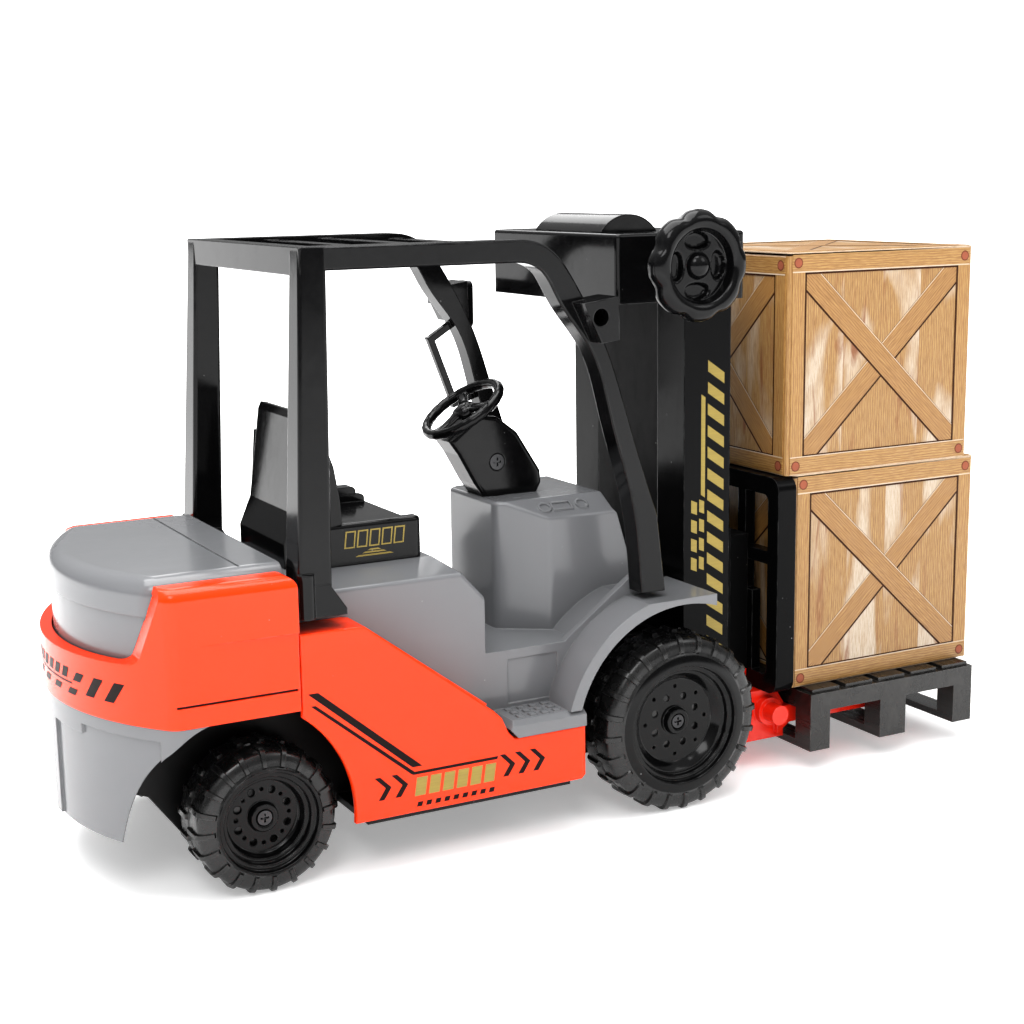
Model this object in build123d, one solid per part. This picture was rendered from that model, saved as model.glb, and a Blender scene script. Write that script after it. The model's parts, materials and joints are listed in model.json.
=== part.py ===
"""Toy forklift truck with a hand-wound lift, a pallet and two printed crates.

Millimetres. +X runs forward towards the forks, +Y to the truck's left, +Z up.
The wheels stand on Z = 0. Every X below is measured forward from the rear axle;
`save` then slides each piece back so that the origin is at the middle of the toy's
footprint on the ground.
"""
from build123d import *
import math
import os

# ------------------------------------------------------------------ driving dimensions
# running gear
WHEELBASE = 158.0
REAR_R, FRONT_R = 24.8, 33.0            # tyre radii
REAR_FACE_Y, FRONT_FACE_Y = 58.5, 63.0  # outer side walls of the tyres
AXLE_R = 2.0
RUNNING = 0.08                          # radial clearance of anything that turns
AXLE_HALF = {"rear": 51.5, "front": 56.6}
SCREW_HEAD_R = 2.5
WHEEL_SIZES = {                         # tyre radius, rim radius, outer side wall, half width
    "rear": (REAR_R, 17.6, REAR_FACE_Y, 12.0),
    "front": (FRONT_R, 24.2, FRONT_FACE_Y, 11.2),
}

# body
BODY_HALF = 62.0
TAIL_X, TAIL_R = 37.9, 92.5             # centre and radius of the bowed tail, seen from above
BODY_REAR = TAIL_X - TAIL_R
PANEL_T = 2.4
BAND_Z0, BAND_Z1, EAR_Z = 62.0, 81.0, 106.6
BAND_T = 4.0                            # thickness of the tail band
TAIL_CORNER = 6.0                       # radius where the tail meets the sides
SEAM = 0.25                             # half of the gap between neighbouring shells
WEIGHT_Z0 = 21.0
HOOD_HALF, HOOD_Z0, HOOD_Z1 = 52.0, 96.6, 108.5
HOOD_SEAT_Z = 102.0                     # where the lid sits on the engine box
JOINT_X = 11.0                          # seam between tail shell and side panels
SHELL_FRONT, PANEL_REAR = JOINT_X - SEAM, JOINT_X + SEAM
WELL_C, WELL_R = (-5.0, 20.0), 41.0     # rear wheel arch in the XZ plane

SCREW_SPOTS = [(-12, 0), (45, -22), (45, 22), (100, -22), (100, 22), (140, 0)]  # under the floor

# cab
FLOOR_Z = 66.5                          # top of the footwell floor
CAB_SIDE = 46.6                         # cab walls and seat base, half width
STEP_Z, STEP_X0, STEP_X1 = 45.5, 88.3, 116.5
SEAT_X0, SEAT_X1, SEAT_Z, SEAT_CROWN = 16.0, 85.3, 96.2, 99.4
SEAT_PEG_X = 48.0
COWL_HALF, COWL_X0, COWL_X1 = 30.0, 104.0, 156.0
COWL_SIDE_Z, COWL_TOP_Z, COWL_FLAT = 107.9, 113.8, 20.0
ARCH_R, ARCH_T = 45.0, 4.4              # front mudguard round the front axle
FENDER_TOP, FENDER_X1 = 82.0, 171.7

# steering
COLUMN_TILT = 33.0
WHEEL_CENTRE = (101.5, 146.0)
COLUMN_HALF = 7.5
COLUMN_SCREW = (111.6, 126.4)

# overhead guard
ROOF_Z, BEAM_H, BEAM_W = 209.0, 7.6, 8.6
ROOF_HALF, ROOF_X0 = 55.8, 18.0
SLATS_X = (44.5, 66.0)
SLAT_W, SLAT_T = 5.8, 3.4
SOCKET_R, SOCKET_X, SOCKET_Z = 2.95, 122.6, 182.5

# mast
RAIL_X0, RAIL_X1 = 172.5, 193.0
RAIL_OUT, RAIL_IN = 39.5, 21.5
RAIL_Z0, RAIL_Z1 = 24.0, 184.9
RAIL_T = 2.2
HOUSING_X0, HOUSING_X1 = 139.5, 194.0
HOUSING_HALF, HOUSING_Z0, HOUSING_Z1 = 46.4, 184.9, 209.3
SHAFT_X, SHAFT_Z, SHAFT_R = 158.3, 198.6, 2.5
PULLEY_X, PULLEY_Z, PULLEY_R = 183.0, 198.6, 4.5
DRUM_R = 5.0
HANDWHEEL_R, HANDWHEEL_Y0, HANDWHEEL_Y1 = 19.4, -73.0, -64.0

# carriage, forks and load
CARRIAGE_X = 196.0                      # back of the carriage plate
BACKREST_X0, BACKREST_X1 = 211.0, 219.4
BACKREST_HALF, BACKREST_Z0, BACKREST_Z1 = 46.0, 31.0, 116.0
TINE_Y0, TINE_Y1, TINE_Z0, TINE_Z1, TINE_X1 = 27.0, 38.0, 16.4, 23.4, 287.0
PEG_X, PEG_Z = 214.0, 22.5
PALLET_X0, PALLET_L, PALLET_HALF, PALLET_Z0, PALLET_H = 223.5, 82.0, 52.0, 8.0, 24.4
CRATE_L, CRATE_W, CRATE_H, CRATE_T = 90.0, 88.0, 84.0, 1.2
CRATE_X0 = 219.6
UPPER_SHIFT = -4.0                      # the top crate sits a little further back

FRONT_END = CRATE_X0 + CRATE_L
SHIFT_X = -(BODY_REAR + FRONT_END) / 2


# ------------------------------------------------------------------ helpers
def save(name, shape):
    """Write one piece to parts/NAME.step in the part's own frame."""
    export_step(Pos(SHIFT_X, 0, 0) * shape, f"parts/{name}.step")


def box(x0, x1, y0, y1, z0, z1):
    """A box between two corners."""
    corner = (Align.MIN, Align.MIN, Align.MIN)
    return Pos(x0, y0, z0) * Box(x1 - x0, y1 - y0, z1 - z0, align=corner)


def rod_y(x, z, radius, y0, y1):
    """A cylinder along Y."""
    return Pos(x, (y0 + y1) / 2, z) * Rot(90, 0, 0) * Cylinder(radius, y1 - y0)


def rod_z(x, y, radius, z0, z1):
    """A cylinder along Z."""
    return Pos(x, y, (z0 + z1) / 2) * Cylinder(radius, z1 - z0)


def plate_y(points, y0, y1):
    """An outline of (x, z) points, extruded along Y."""
    face = make_face(Polyline(*[(x, z) for x, z in points], close=True))
    return Pos(0, y1, 0) * extrude(Plane.XZ * face, y1 - y0)


def plate_z(points, z0, z1):
    """An outline of (x, y) points, extruded along Z."""
    face = make_face(Polyline(*points, close=True))
    return Pos(0, 0, z0) * extrude(face, z1 - z0)


def both(shape):
    """The shape and its mirror image on the other side of the truck, as a list."""
    return [shape, mirror(shape, about=Plane.XZ)]


def fuse(*shapes):
    """One solid from many."""
    result = shapes[0]
    for shape in shapes[1:]:
        result = result + shape
    return result


def cut(body, *tools):
    """Take every tool away from the body."""
    for tool in tools:
        body = body - tool
    return body


# ------------------------------------------------------------------ wheels
def wheel_profile(radius, rim_r, half, disc, boss):
    """Half section of a wheel half, as (radius, axial) points from the seam to the side wall."""
    return [
        (AXLE_R + RUNNING, 0.0),
        (radius - 1.6, 0.0),
        (radius - 1.6, 0.9),
        (radius, 1.6),
        (radius, half - 3.0),
        (radius - 1.8, half - 1.4),
        (radius - 4.6, half - 0.4),
        (radius - 6.8, half),
        (rim_r + 0.8, half),
        (rim_r, half - 0.8),
        (rim_r, half - 2.4),
        (rim_r - 1.4, half - 3.0),
        (rim_r - 1.4, disc + 2.6),
        (rim_r - 3.0, disc + 0.9),
        (rim_r - 4.2, disc),
        (8.0, disc),
        (7.2, boss),
        (AXLE_R + RUNNING, boss),
    ]


def wheel_half(axle, side):
    """One half of a moulded wheel: axle 'rear' or 'front', side 'outer' or 'inner'."""
    radius, rim_r, face_y, half = WHEEL_SIZES[axle]
    disc, boss = (4.2, 6.6) if side == "outer" else (7.2, 10.6)
    section = make_face(Polyline(*wheel_profile(radius, rim_r, half, disc, boss), close=True))
    wheel = revolve(section, Axis.Y)
    if side == "inner":
        wheel = mirror(wheel, about=Plane.XZ)
    else:
        large = rod_y(0, 10.3, 1.35, disc - 1.6, disc + 1)
        small = rod_y(0, 10.3, 0.75, disc - 1.6, disc + 1)
        drillings = [Rot(0, 45 * i + 22.5, 0) * large for i in range(8)]
        drillings += [Rot(0, 45 * i, 0) * small for i in range(8)]
        wheel = wheel - drillings - rod_y(0, 0, SCREW_HEAD_R + 0.4, disc + 0.5, boss + 1)
    return Pos(0, face_y - half, 0) * wheel


def wheels():
    """Four wheels, each moulded as an outer and an inner half."""
    for axle, x, z in (("rear", 0.0, REAR_R), ("front", WHEELBASE, FRONT_R)):
        for side in ("outer", "inner"):
            left = Pos(x, 0, z) * wheel_half(axle, side)
            save(f"{axle}_wheel_left_{side}", left)
            save(f"{axle}_wheel_right_{side}", mirror(left, about=Plane.XZ))


def axles():
    """Steel axles, and the cross-head screws that hold the wheels on their ends."""
    screws = []
    for axle, x, z in (("rear", 0.0, REAR_R), ("front", WHEELBASE, FRONT_R)):
        end = AXLE_HALF[axle]
        bar = rod_y(x, z, AXLE_R, -end, end)
        for y in (-end, end - 5.0):
            bar = bar - rod_y(x, z, 0.85, y, y + 5.0)
        save(f"{axle}_axle", bar)
        head = rod_y(x, z, SCREW_HEAD_R, end, end + 1.4)
        slots = fuse(
            box(x - 1.5, x + 1.5, end + 0.6, end + 3, z - 0.35, z + 0.35),
            box(x - 0.35, x + 0.35, end + 0.6, end + 3, z - 1.5, z + 1.5),
        )
        shank = rod_y(x, z, 0.8, end - 4.9, end + 0.1)
        screws += both(head + shank - slots)
    save("wheel_screws", Compound(children=screws))


# ------------------------------------------------------------------ body
def bowed_face(radius, half, front):
    """Plan view of the body: straight sides up to a front edge and one arc round the tail."""
    corner = TAIL_X - math.sqrt(radius ** 2 - half ** 2)
    edges = [
        Line((front, -half), (corner, -half)),
        ThreePointArc((corner, -half), (TAIL_X - radius, 0), (corner, half)),
        Line((corner, half), (front, half)),
        Line((front, half), (front, -half)),
    ]
    return make_face(edges)


def tail_solid(inset, front, z0, z1):
    """The tail between two heights, set in from the outside of the body, with softened corners."""
    slab = Pos(0, 0, z0) * extrude(bowed_face(TAIL_R - inset, BODY_HALF - inset, front), z1 - z0)
    corners = [e for e in slab.edges().filter_by(Axis.Z) if e.center().X < -20]
    return fillet(corners, max(0.5, TAIL_CORNER - inset))


def wheel_well():
    """The round space of the rear wheel arches, right across the truck."""
    return rod_y(WELL_C[0], WELL_C[1], WELL_R, -BODY_HALF - 3, BODY_HALF + 3)


def ear_swell():
    """The thin wedge by which the right ear widens towards its front."""
    wedge = [(-24, -BODY_HALF + 1), (-24, -BODY_HALF), (SHELL_FRONT, -63.0), (SHELL_FRONT, -BODY_HALF + 1)]
    return plate_z(wedge, 88.0, EAR_Z)


def tail_shell():
    """Orange shell round the tail, with an ear up each side of the engine hood."""
    shell = fuse(tail_solid(0, SHELL_FRONT, BAND_Z0, EAR_Z), *both(ear_swell()))
    shell = fillet(shell.faces().sort_by(Axis.Z)[-1].edges(), 4.0)
    inner = tail_solid(BAND_T, JOINT_X + 1, BAND_Z0 - 1, EAR_Z - 2.5)
    corner = (-39.0, BAND_Z1 + 0.8)
    opening = plate_y(
        [(-80, BAND_Z1), (BODY_REAR, BAND_Z1), corner, (-32.0, EAR_Z + 2), (-80, EAR_Z + 2)], -80, 80
    )
    turn = opening.edges().filter_by(Axis.Y).sort_by_distance((corner[0], 0, corner[1]))[0]
    opening = fillet(turn, 4.0)
    around_hood = hood_solid(-0.3, JOINT_X + 1, HOOD_Z0 - 1, HOOD_Z1)
    shell = cut(shell, inner, around_hood, opening, wheel_well())
    for y in (-BODY_HALF, BODY_HALF):
        shell = shell - box(-30, JOINT_X - 1.0, y - 0.9, y + 0.9, 68.8, 69.6)
    return shell


def weight_arch():
    """The wheel cut-out of the counterweight, right across the truck."""
    curve = Spline((-43.8, WEIGHT_Z0), (-41.6, 33.8), (-34.1, 51.8), (-19.5, BAND_Z0))
    outline = [
        *curve.edges(),
        Line((-19.5, BAND_Z0), (-19.5, BAND_Z0 + 2)),
        Line((-19.5, BAND_Z0 + 2), (0, BAND_Z0 + 2)),
        Line((0, BAND_Z0 + 2), (0, WEIGHT_Z0 - 2)),
        Line((0, WEIGHT_Z0 - 2), (-43.8, WEIGHT_Z0 - 2)),
        Line((-43.8, WEIGHT_Z0 - 2), (-43.8, WEIGHT_Z0)),
    ]
    return Pos(0, 80, 0) * extrude(Plane.XZ * make_face(outline), 160)


def weight_step(y0, y1, top):
    """The shallow step in the face of the counterweight, on the right between two widths."""
    skin = tail_solid(-2, -12, WEIGHT_Z0 - 1, top) - tail_solid(1.2, -11, WEIGHT_Z0 - 2, top + 1)
    return skin & box(-80, -20, y0, y1, 0, 100)


def counterweight():
    """Grey moulding under the tail shell, cut away for the wheels, with a stepped face."""
    block = tail_solid(0.3, -12, WEIGHT_Z0, BAND_Z0)
    core = tail_solid(5.5, -11, WEIGHT_Z0 + 3, BAND_Z0 + 1)
    block = cut(block, core, weight_arch())
    for stretch in (weight_step(-57.0, -24.5, 57.8), weight_step(-24.6, -3.0, 54.4)):
        block = cut(block, *both(stretch))
    return block


def panel_outline():
    """Side view of an orange side panel."""
    line = Polyline(
        (28.5, 20.0), (115.0, 20.0), (116.5, 21.5), (116.5, 39.6), (88.3, 39.6), (86.0, 42.0),
        (83.5, 47.5), (80.5, 50.5), (34.0, 86.6), (31.0, 87.0), (PANEL_REAR, 87.0), (PANEL_REAR, 59.2),
    )
    arch = ThreePointArc((PANEL_REAR, 59.2), (23.6, 44.5), (28.5, 20.0))
    return make_face([*line.edges(), arch])


def side_panel():
    """Right-hand orange side panel under the cab."""
    slab = Pos(0, -BODY_HALF + PANEL_T, 0) * extrude(Plane.XZ * panel_outline(), PANEL_T)
    slab = fillet(slab.faces().sort_by(Axis.Y)[0].edges(), 0.6)
    ledge_line = [
        (PANEL_REAR, 84.8), (31, 84.8), (33.2, 84.2), (76, 51), (78, 53.4), (34, 86.6), (31, 87),
        (PANEL_REAR, 87),
    ]
    return slab + plate_y(ledge_line, -BODY_HALF + 0.7, -CAB_SIDE - 0.02)


def chassis():
    """Black inner frame: wheel-well walls, axle bearings, sills and the mast foot."""
    floor_line = [(-40, 60), (-40, 34), (-32, 31), (-22, 17), (168, 17), (168, 60)]
    room_line = [(-37.5, 61), (-37.5, 36.5), (-30.5, 33.5), (-20.5, 19.5), (165.5, 19.5), (165.5, 61)]
    tub = plate_y(floor_line, -31, 31) - plate_y(room_line, -28.5, 28.5)
    sills = [box(34, 112, y0, y1, 17.6, 20.0) for y0, y1 in ((-58.5, -31), (31, 58.5))]
    ribs = [box(x, x + 2, -30, 30, 19, 56) for x in (60, 118)]
    frame = fuse(tub, *sills, *ribs)
    for x, z in ((0.0, REAR_R), (WHEELBASE, FRONT_R)):
        bosses = [rod_y(x, z, 6.0, 27, 33.5), rod_y(x, z, 6.0, -33.5, -27)]
        frame = fuse(frame, *bosses)
        frame = frame - rod_y(x, z, AXLE_R, -40, 40)
    foot = box(166, 172.4, -36, 36, 20, 58)
    frame = frame + foot
    for x, y in SCREW_SPOTS:
        frame = cut(frame, rod_z(x, y, 1.25, 16, 25), rod_z(x, y, 3.0, 16, 18.2))
    return frame


def chassis_screws():
    """Six screws up through the floor of the chassis."""
    screws = []
    for x, y in SCREW_SPOTS:
        head = rod_z(x, y, 2.9, 17.1, 18.2) - box(x - 1.8, x + 1.8, y - 0.4, y + 0.4, 17, 17.7)
        screws.append(head + rod_z(x, y, 1.2, 18.1, 24))
    return Compound(children=screws)


def hood_solid(inset, front, z0, z1):
    """The engine hood between two heights, bowed like the tail, with softened corners."""
    slab = Pos(0, 0, z0) * extrude(bowed_face(TAIL_R - 3.5 - inset, HOOD_HALF - inset, front), z1 - z0)
    corners = [e for e in slab.edges().filter_by(Axis.Z) if e.center().X < 0]
    return fillet(corners, 8.0 - inset)


def hood_lid():
    """Grey lid with a rounded overhanging rim and a seam across it."""
    lid = hood_solid(0, 10.4, HOOD_Z0, HOOD_Z1)
    rim = [e for e in lid.faces().sort_by(Axis.Z)[-1].edges() if e.center().X < 9]
    lid = fillet(rim, 6.0)
    lid = lid - hood_solid(2.4, 12.0, HOOD_Z0 - 1, HOOD_Z1 - 2.4)
    lid = lid - hood_solid(0.96, 12.0, HOOD_Z0 - 1, HOOD_SEAT_Z)
    return lid - box(-3.4, -2.7, -47, 47, HOOD_Z1 - 0.6, HOOD_Z1 + 1)


def engine_box():
    """Grey wall under the hood lid, down behind the band to the counterweight."""
    wall = hood_solid(1.0, 8.2, BAND_Z0, HOOD_SEAT_Z)
    return wall - hood_solid(3.0, 10.0, BAND_Z0 - 1, HOOD_SEAT_Z + 1)


# ------------------------------------------------------------------ cab
def crowned(x0, x1, half, z0, z_side, z_mid, mid_half):
    """A block along X whose top rises from its sides to a flat middle."""
    face = make_face(Polyline(
        (-half, z0), (half, z0), (half, z_side), (mid_half, z_mid), (-mid_half, z_mid), (-half, z_side),
        close=True,
    ))
    return Pos(x0, 0, 0) * extrude(Plane.YZ * face, x1 - x0)


def seat_base(inset):
    """Seat base with sloping shoulders and a chamfered front."""
    front = SEAT_X1 - inset
    block = crowned(
        SEAT_X0 + inset, front, CAB_SIDE - inset, FLOOR_Z - 2.0, SEAT_Z - inset, SEAT_CROWN - inset, 28.5
    )
    nose = plate_y(
        [(72.0 - inset, 101.6), (95, 101.6), (95, FLOOR_Z), (front, 87.0), (77.0 - inset, SEAT_Z)], -60, 60
    )
    block = cut(block, nose)
    if inset:
        return block
    return fillet([e for e in block.edges() if e.center().Z > 80 and e.center().X > SEAT_X0 + 1], 1.5)


def cowl(inset):
    """Dash cowl: narrow flat back, raked shoulders, crowned top and a raked front."""
    x0, x1 = COWL_X0 + inset, COWL_X1 - inset
    half = COWL_HALF - inset
    plan = [(x0, -18.5), (121.0, -half), (x1, -half), (x1, half), (121.0, half), (x0, 18.5)]
    block = plate_z(plan, FLOOR_Z - 2.0, 130)
    crown = crowned(90, 170, COWL_HALF, 60, COWL_SIDE_Z - inset, COWL_TOP_Z - inset, COWL_FLAT)
    rake = plate_y([(x1 - 7, 131), (x1 - 7, 108), (x1, 84.7), (170, 84.7), (170, 131)], -60, 60)
    block = cut(block & crown, rake)
    if inset:
        return block
    uprights = [e for e in block.edges().filter_by(Axis.Z) if e.center().Z < 100 and e.center().X < x1 - 1]
    block = fillet(uprights, 4.0)
    return fillet([e for e in block.edges() if e.center().Z > 100], 1.5)


def on_arch(radius, degrees):
    """A point at an angle on a circle round the front axle, in side view."""
    angle = math.radians(degrees)
    return WHEELBASE + radius * math.cos(angle), FRONT_R + radius * math.sin(angle)


def arch_angle(radius, z):
    """The angle, behind the front axle, at which a circle round it reaches a height."""
    return 180 - math.degrees(math.asin((z - FRONT_R) / radius))


def fender_profile():
    """Side view of a mudguard: a ring round the wheel and a level top."""
    outer_r = ARCH_R + ARCH_T
    tip = math.degrees(math.acos((FENDER_X1 - WHEELBASE) / ARCH_R))
    low_in = on_arch(ARCH_R, arch_angle(ARCH_R, STEP_Z))
    low_out = on_arch(outer_r, arch_angle(outer_r, STEP_Z))
    tip_in = on_arch(ARCH_R, tip)
    tip_out = (tip_in[0], tip_in[1] + ARCH_T)
    top = on_arch(outer_r, 108)
    edges = [
        ThreePointArc(low_in, on_arch(ARCH_R, 120), tip_in),
        Line(tip_in, tip_out),
        Line(tip_out, top),
        ThreePointArc(low_out, on_arch(outer_r, 137), top),
        Line(low_out, low_in),
    ]
    return make_face(edges)


def fender():
    """Right-hand mudguard with the raised ridge that runs up from the floor."""
    width = BODY_HALF + 0.6 - COWL_HALF
    guard = Pos(0, -COWL_HALF + 0.5, 0) * extrude(Plane.XZ * fender_profile(), width + 0.5)
    ridge_line = [
        (115, 64.5), (119, 68), (147, 88.3), (150.5, 89.2), (153, 87), (153, 80), (130, 68), (118, 60),
    ]
    ridge = plate_y(ridge_line, -CAB_SIDE, -CAB_SIDE + 3)
    arch = rod_y(WHEELBASE, FRONT_R, ARCH_R, -70, -20)
    return guard + cut(ridge, arch)


def step():
    """Right-hand step with a chamfered nose and low treads."""
    line = [(STEP_X0, STEP_Z), (STEP_X1, STEP_Z), (STEP_X1, 39.7), (STEP_X0 + 1, 39.7), (STEP_X0 - 2, 43)]
    tread = plate_y(line, -BODY_HALF - 0.8, -CAB_SIDE + 1)
    nose = plate_z([(80, -60.5), (80, -66), (120, -66), (120, -60.5)], STEP_Z - 0.01, STEP_Z + 1)
    bevel = make_face(Polyline((-60.3, STEP_Z + 0.1), (-64, STEP_Z + 0.1), (-64, 43.2), close=True))
    tread = cut(tread, nose, Pos(80, 0, 0) * extrude(Plane.YZ * bevel, 50))
    for i in range(5):
        for j in range(3):
            tread = tread + Pos(92.5 + i * 4.8, -58.0 + j * 4.4, STEP_Z + 0.25) * Box(2.6, 2.4, 0.7)
    return tread


def cab_walls():
    """Right-hand wall between the step and the floor, with its recessed panel."""
    wall = box(60, 118, -CAB_SIDE, -CAB_SIDE + 1.4, 40.5, FLOOR_Z)
    slope = plate_y([(50, 72), (50, 40), (78, 40), (58, 72)], -80, 80)
    recess = box(94, 114, -CAB_SIDE - 1, -CAB_SIDE + 0.6, 47, 63)
    wheel = rod_y(WHEELBASE, FRONT_R, ARCH_R, -70, -20)
    return cut(wall, slope, recess, wheel)


def gauges():
    """Raised instrument outlines on the right shoulder of the cowl."""
    slope = math.atan2(COWL_TOP_Z - COWL_SIDE_Z, COWL_HALF - COWL_FLAT)
    y = -25.0
    z = COWL_TOP_Z + (y + COWL_FLAT) * math.tan(slope)
    ring = Cylinder(2.6, 1.4) - Cylinder(1.9, 3)
    bezel = Box(8.5, 4.6, 1.4) - Box(7.1, 3.2, 3)
    places = [(128.5, bezel), (137.0, ring), (121.5, ring)]
    return [Pos(x, y, z) * Rot(math.degrees(slope), 0, 0) * shape for x, shape in places]


def cab_body():
    """Grey cab moulding: floor, seat base, dash cowl, steps and mudguards in one piece."""
    floor = box(60, 140, -CAB_SIDE, CAB_SIDE, FLOOR_Z - 2.2, FLOOR_Z)
    hull = fuse(floor, seat_base(0), cowl(0))
    for part in (fender(), step(), cab_walls()):
        for twin in both(part):
            hull = hull + twin
    hull = hull + box(140, 167, -COWL_HALF, COWL_HALF, 78, 82)
    hull = cut(hull, seat_base(2.0), Pos(0, 0, -0.01) * seat_base(2.0), cowl(2.0))
    hull = hull - box(60, 175, -31.1, 31.1, 30, 60.1)
    for bead in gauges():
        hull = hull + bead
    for i in range(8):
        hull = hull + box(90, 101, -14 + i * 4, -13 + i * 4, FLOOR_Z - 0.1, FLOOR_Z + 0.5)
    hull = hull - rod_z(SEAT_PEG_X, 0, 2.6, 90, 110)
    return hull


def seat():
    """Black seat: skirt, dished cushion, tall back with side bolsters, and a lever box on the left."""
    skirt = box(34, 71, -28, 28, 99.5, 114.0)
    skirt = fillet(skirt.edges().filter_by(Axis.Z).group_by(Axis.X)[-1], 3.0)
    skirt = fillet(skirt.faces().sort_by(Axis.Z)[-1].edges(), 1.6)
    dish = box(41, 80, -23, 23, 111.2, 120)
    back_line = [
        (21.7, 99.5), (36.5, 99.5), (36.5, 114), (34.5, 141), (33.6, 151.5), (31.5, 151.8), (30.4, 149.4),
        (26, 118), (21.7, 108),
    ]
    back = plate_y(back_line, -22, 22)
    bolster = plate_y([(28, 112), (41, 114), (40.3, 122.8), (38.5, 134), (36, 141), (30.5, 141)], -28, -21.9)
    lever_box = fillet(box(46, 68, 24, 30, 111.0, 116.8).edges().filter_by(Axis.Y), 1.8)
    body = fuse(cut(skirt, dish), back, *both(bolster), lever_box)
    return body + rod_z(SEAT_PEG_X, 0, 2.5, 96, 101)


# ------------------------------------------------------------------ steering
def on_column(shape):
    """Place a shape built along +Z from the origin so that it stands on the tilted column."""
    return Pos(WHEEL_CENTRE[0], 0, WHEEL_CENTRE[1]) * Rot(0, -COLUMN_TILT, 0) * shape


def steering_column():
    """Black column cowl between the dash and the steering wheel."""
    line = [
        (92.5, 135.3), (96.3, 130), (102.6, 118.7), (106, COWL_TOP_Z), (128.5, COWL_TOP_Z), (130.3, 117),
        (130, 121.7), (120.4, 136.8), (112, 143.2), (104.5, 144.3),
    ]
    column = plate_y(line, -COLUMN_HALF, COLUMN_HALF)
    above = COWL_TOP_Z + 1
    bends = [e for e in column.edges().filter_by(Axis.Y) if e.center().X > 110 and e.center().Z > above]
    column = fillet(bends, 2.0)
    flanks = [e for y in (0, -1) for e in column.faces().sort_by(Axis.Y)[y].edges() if e.center().Z > above]
    column = fillet(flanks, 1.6)
    column = column - on_column(Pos(0, 0, -9.3) * Cylinder(2.2 + RUNNING, 18.6))
    x, z = COLUMN_SCREW
    return cut(column, rod_y(x, z, 3.2, -9, -5.6), rod_y(x, z, 1.0, -6, 0))


def column_screw():
    """Cross-head screw in the right side of the column."""
    x, z = COLUMN_SCREW
    slot = fuse(
        box(x - 1.6, x + 1.6, -8, -6.8, z - 0.4, z + 0.4),
        box(x - 0.4, x + 0.4, -8, -6.8, z - 1.6, z + 1.6),
    )
    return rod_y(x, z, 2.9, -7.4, -5.6) - slot + rod_y(x, z, 1.0, -5.7, -0.5)


def steering_wheel():
    """Steering wheel with three spokes on a stub shaft."""
    rim = Torus(15.4, 1.9)
    hub = Pos(0, 0, -0.6) * Cylinder(4.2, 2.8)
    wheel = rim + hub
    for i in range(3):
        spoke = Pos(8.6, 0, -0.6) * Box(13, 3.2, 1.8)
        wheel = wheel + Rot(0, 0, 120 * i + 60) * spoke
    wheel = wheel + Pos(0, 0, -9.5) * Cylinder(2.2, 16)
    return on_column(wheel)


# ------------------------------------------------------------------ overhead guard
def rear_pillar():
    """Right rear pillar, leaning out towards its foot."""
    bottom = Plane((0, 0, 97.0)) * Pos(17.8, -54.0) * Rectangle(11.6, 13.0)
    top = Plane((0, 0, ROOF_Z - 0.2)) * Pos(22.7, -ROOF_HALF + 4.3) * Rectangle(9.3, 8.6)
    foot_line = [(12.0, 91.4), (12.0, 102), (22.7, 102), (28.4, 93.5), (28.4, 91.4)]
    foot = plate_y(foot_line, -60.5, -CAB_SIDE - 0.02)
    knuckle = rod_z(14.8, -59.6, 2.8, 91.4, 106)
    post = loft([bottom, top])
    post = fillet([e for e in post.edges() if 110 < e.center().Z < 190], 1.2)
    return fuse(post, foot, knuckle)


def front_pillar():
    """Right side beam, its bend and the front pillar down to the mudguard."""
    low = FENDER_TOP + 0.4
    under = ROOF_Z - BEAM_H
    front_edge = Spline(
        (96, ROOF_Z), (117, 195), (130, 171), (138.5, 146), (149, 115), (154, low),
        tangents=[(1, 0), (0.12, -1)]
    )
    rear_edge = Spline(
        (144, low), (140.2, 115), (131.5, 146), (123.3, 171), (110.5, 188.8), (95, under),
        tangents=[(-0.08, 1), (-1, 0)]
    )
    edges = [
        Line((ROOF_X0, under), (ROOF_X0, ROOF_Z)),
        Line((ROOF_X0, ROOF_Z), (96, ROOF_Z)),
        front_edge,
        Line((154, low), (144, low)),
        rear_edge,
        Line((95, under), (ROOF_X0, under)),
    ]
    beam = Pos(0, -ROOF_HALF + BEAM_W, 0) * extrude(Plane.XZ * make_face(edges), BEAM_W)
    outside = beam.faces().sort_by(Axis.Y)[0].edges()
    return chamfer([e for e in outside if e.center().X > ROOF_X0 + 1 and e.center().Z > low + 1], 0.6)


def socket_block():
    """Right-hand accessory socket on the front pillar."""
    block = plate_y([(116.0, 187.5), (129.6, 189.3), (129.8, 174.6), (123.0, 173.6)], -64.0, -50.0)
    return block - rod_y(SOCKET_X, SOCKET_Z, SOCKET_R, -65, -54.0)


def grab_handle():
    """Square bar handle behind the left front pillar, running along its slope."""
    bar = 2.6
    path = [(122.5, 172.5), (113.5, 167.0), (123.5, 141.0), (131.0, 143.5)]
    pieces = []
    for (x0, z0), (x1, z1) in zip(path, path[1:]):
        length = math.hypot(x1 - x0, z1 - z0)
        angle = math.degrees(math.atan2(z1 - z0, x1 - x0))
        piece = Box(length + bar, bar, bar)
        pieces.append(Pos((x0 + x1) / 2, 52.0, (z0 + z1) / 2) * Rot(0, -angle, 0) * piece)
    return fuse(*pieces)


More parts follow.
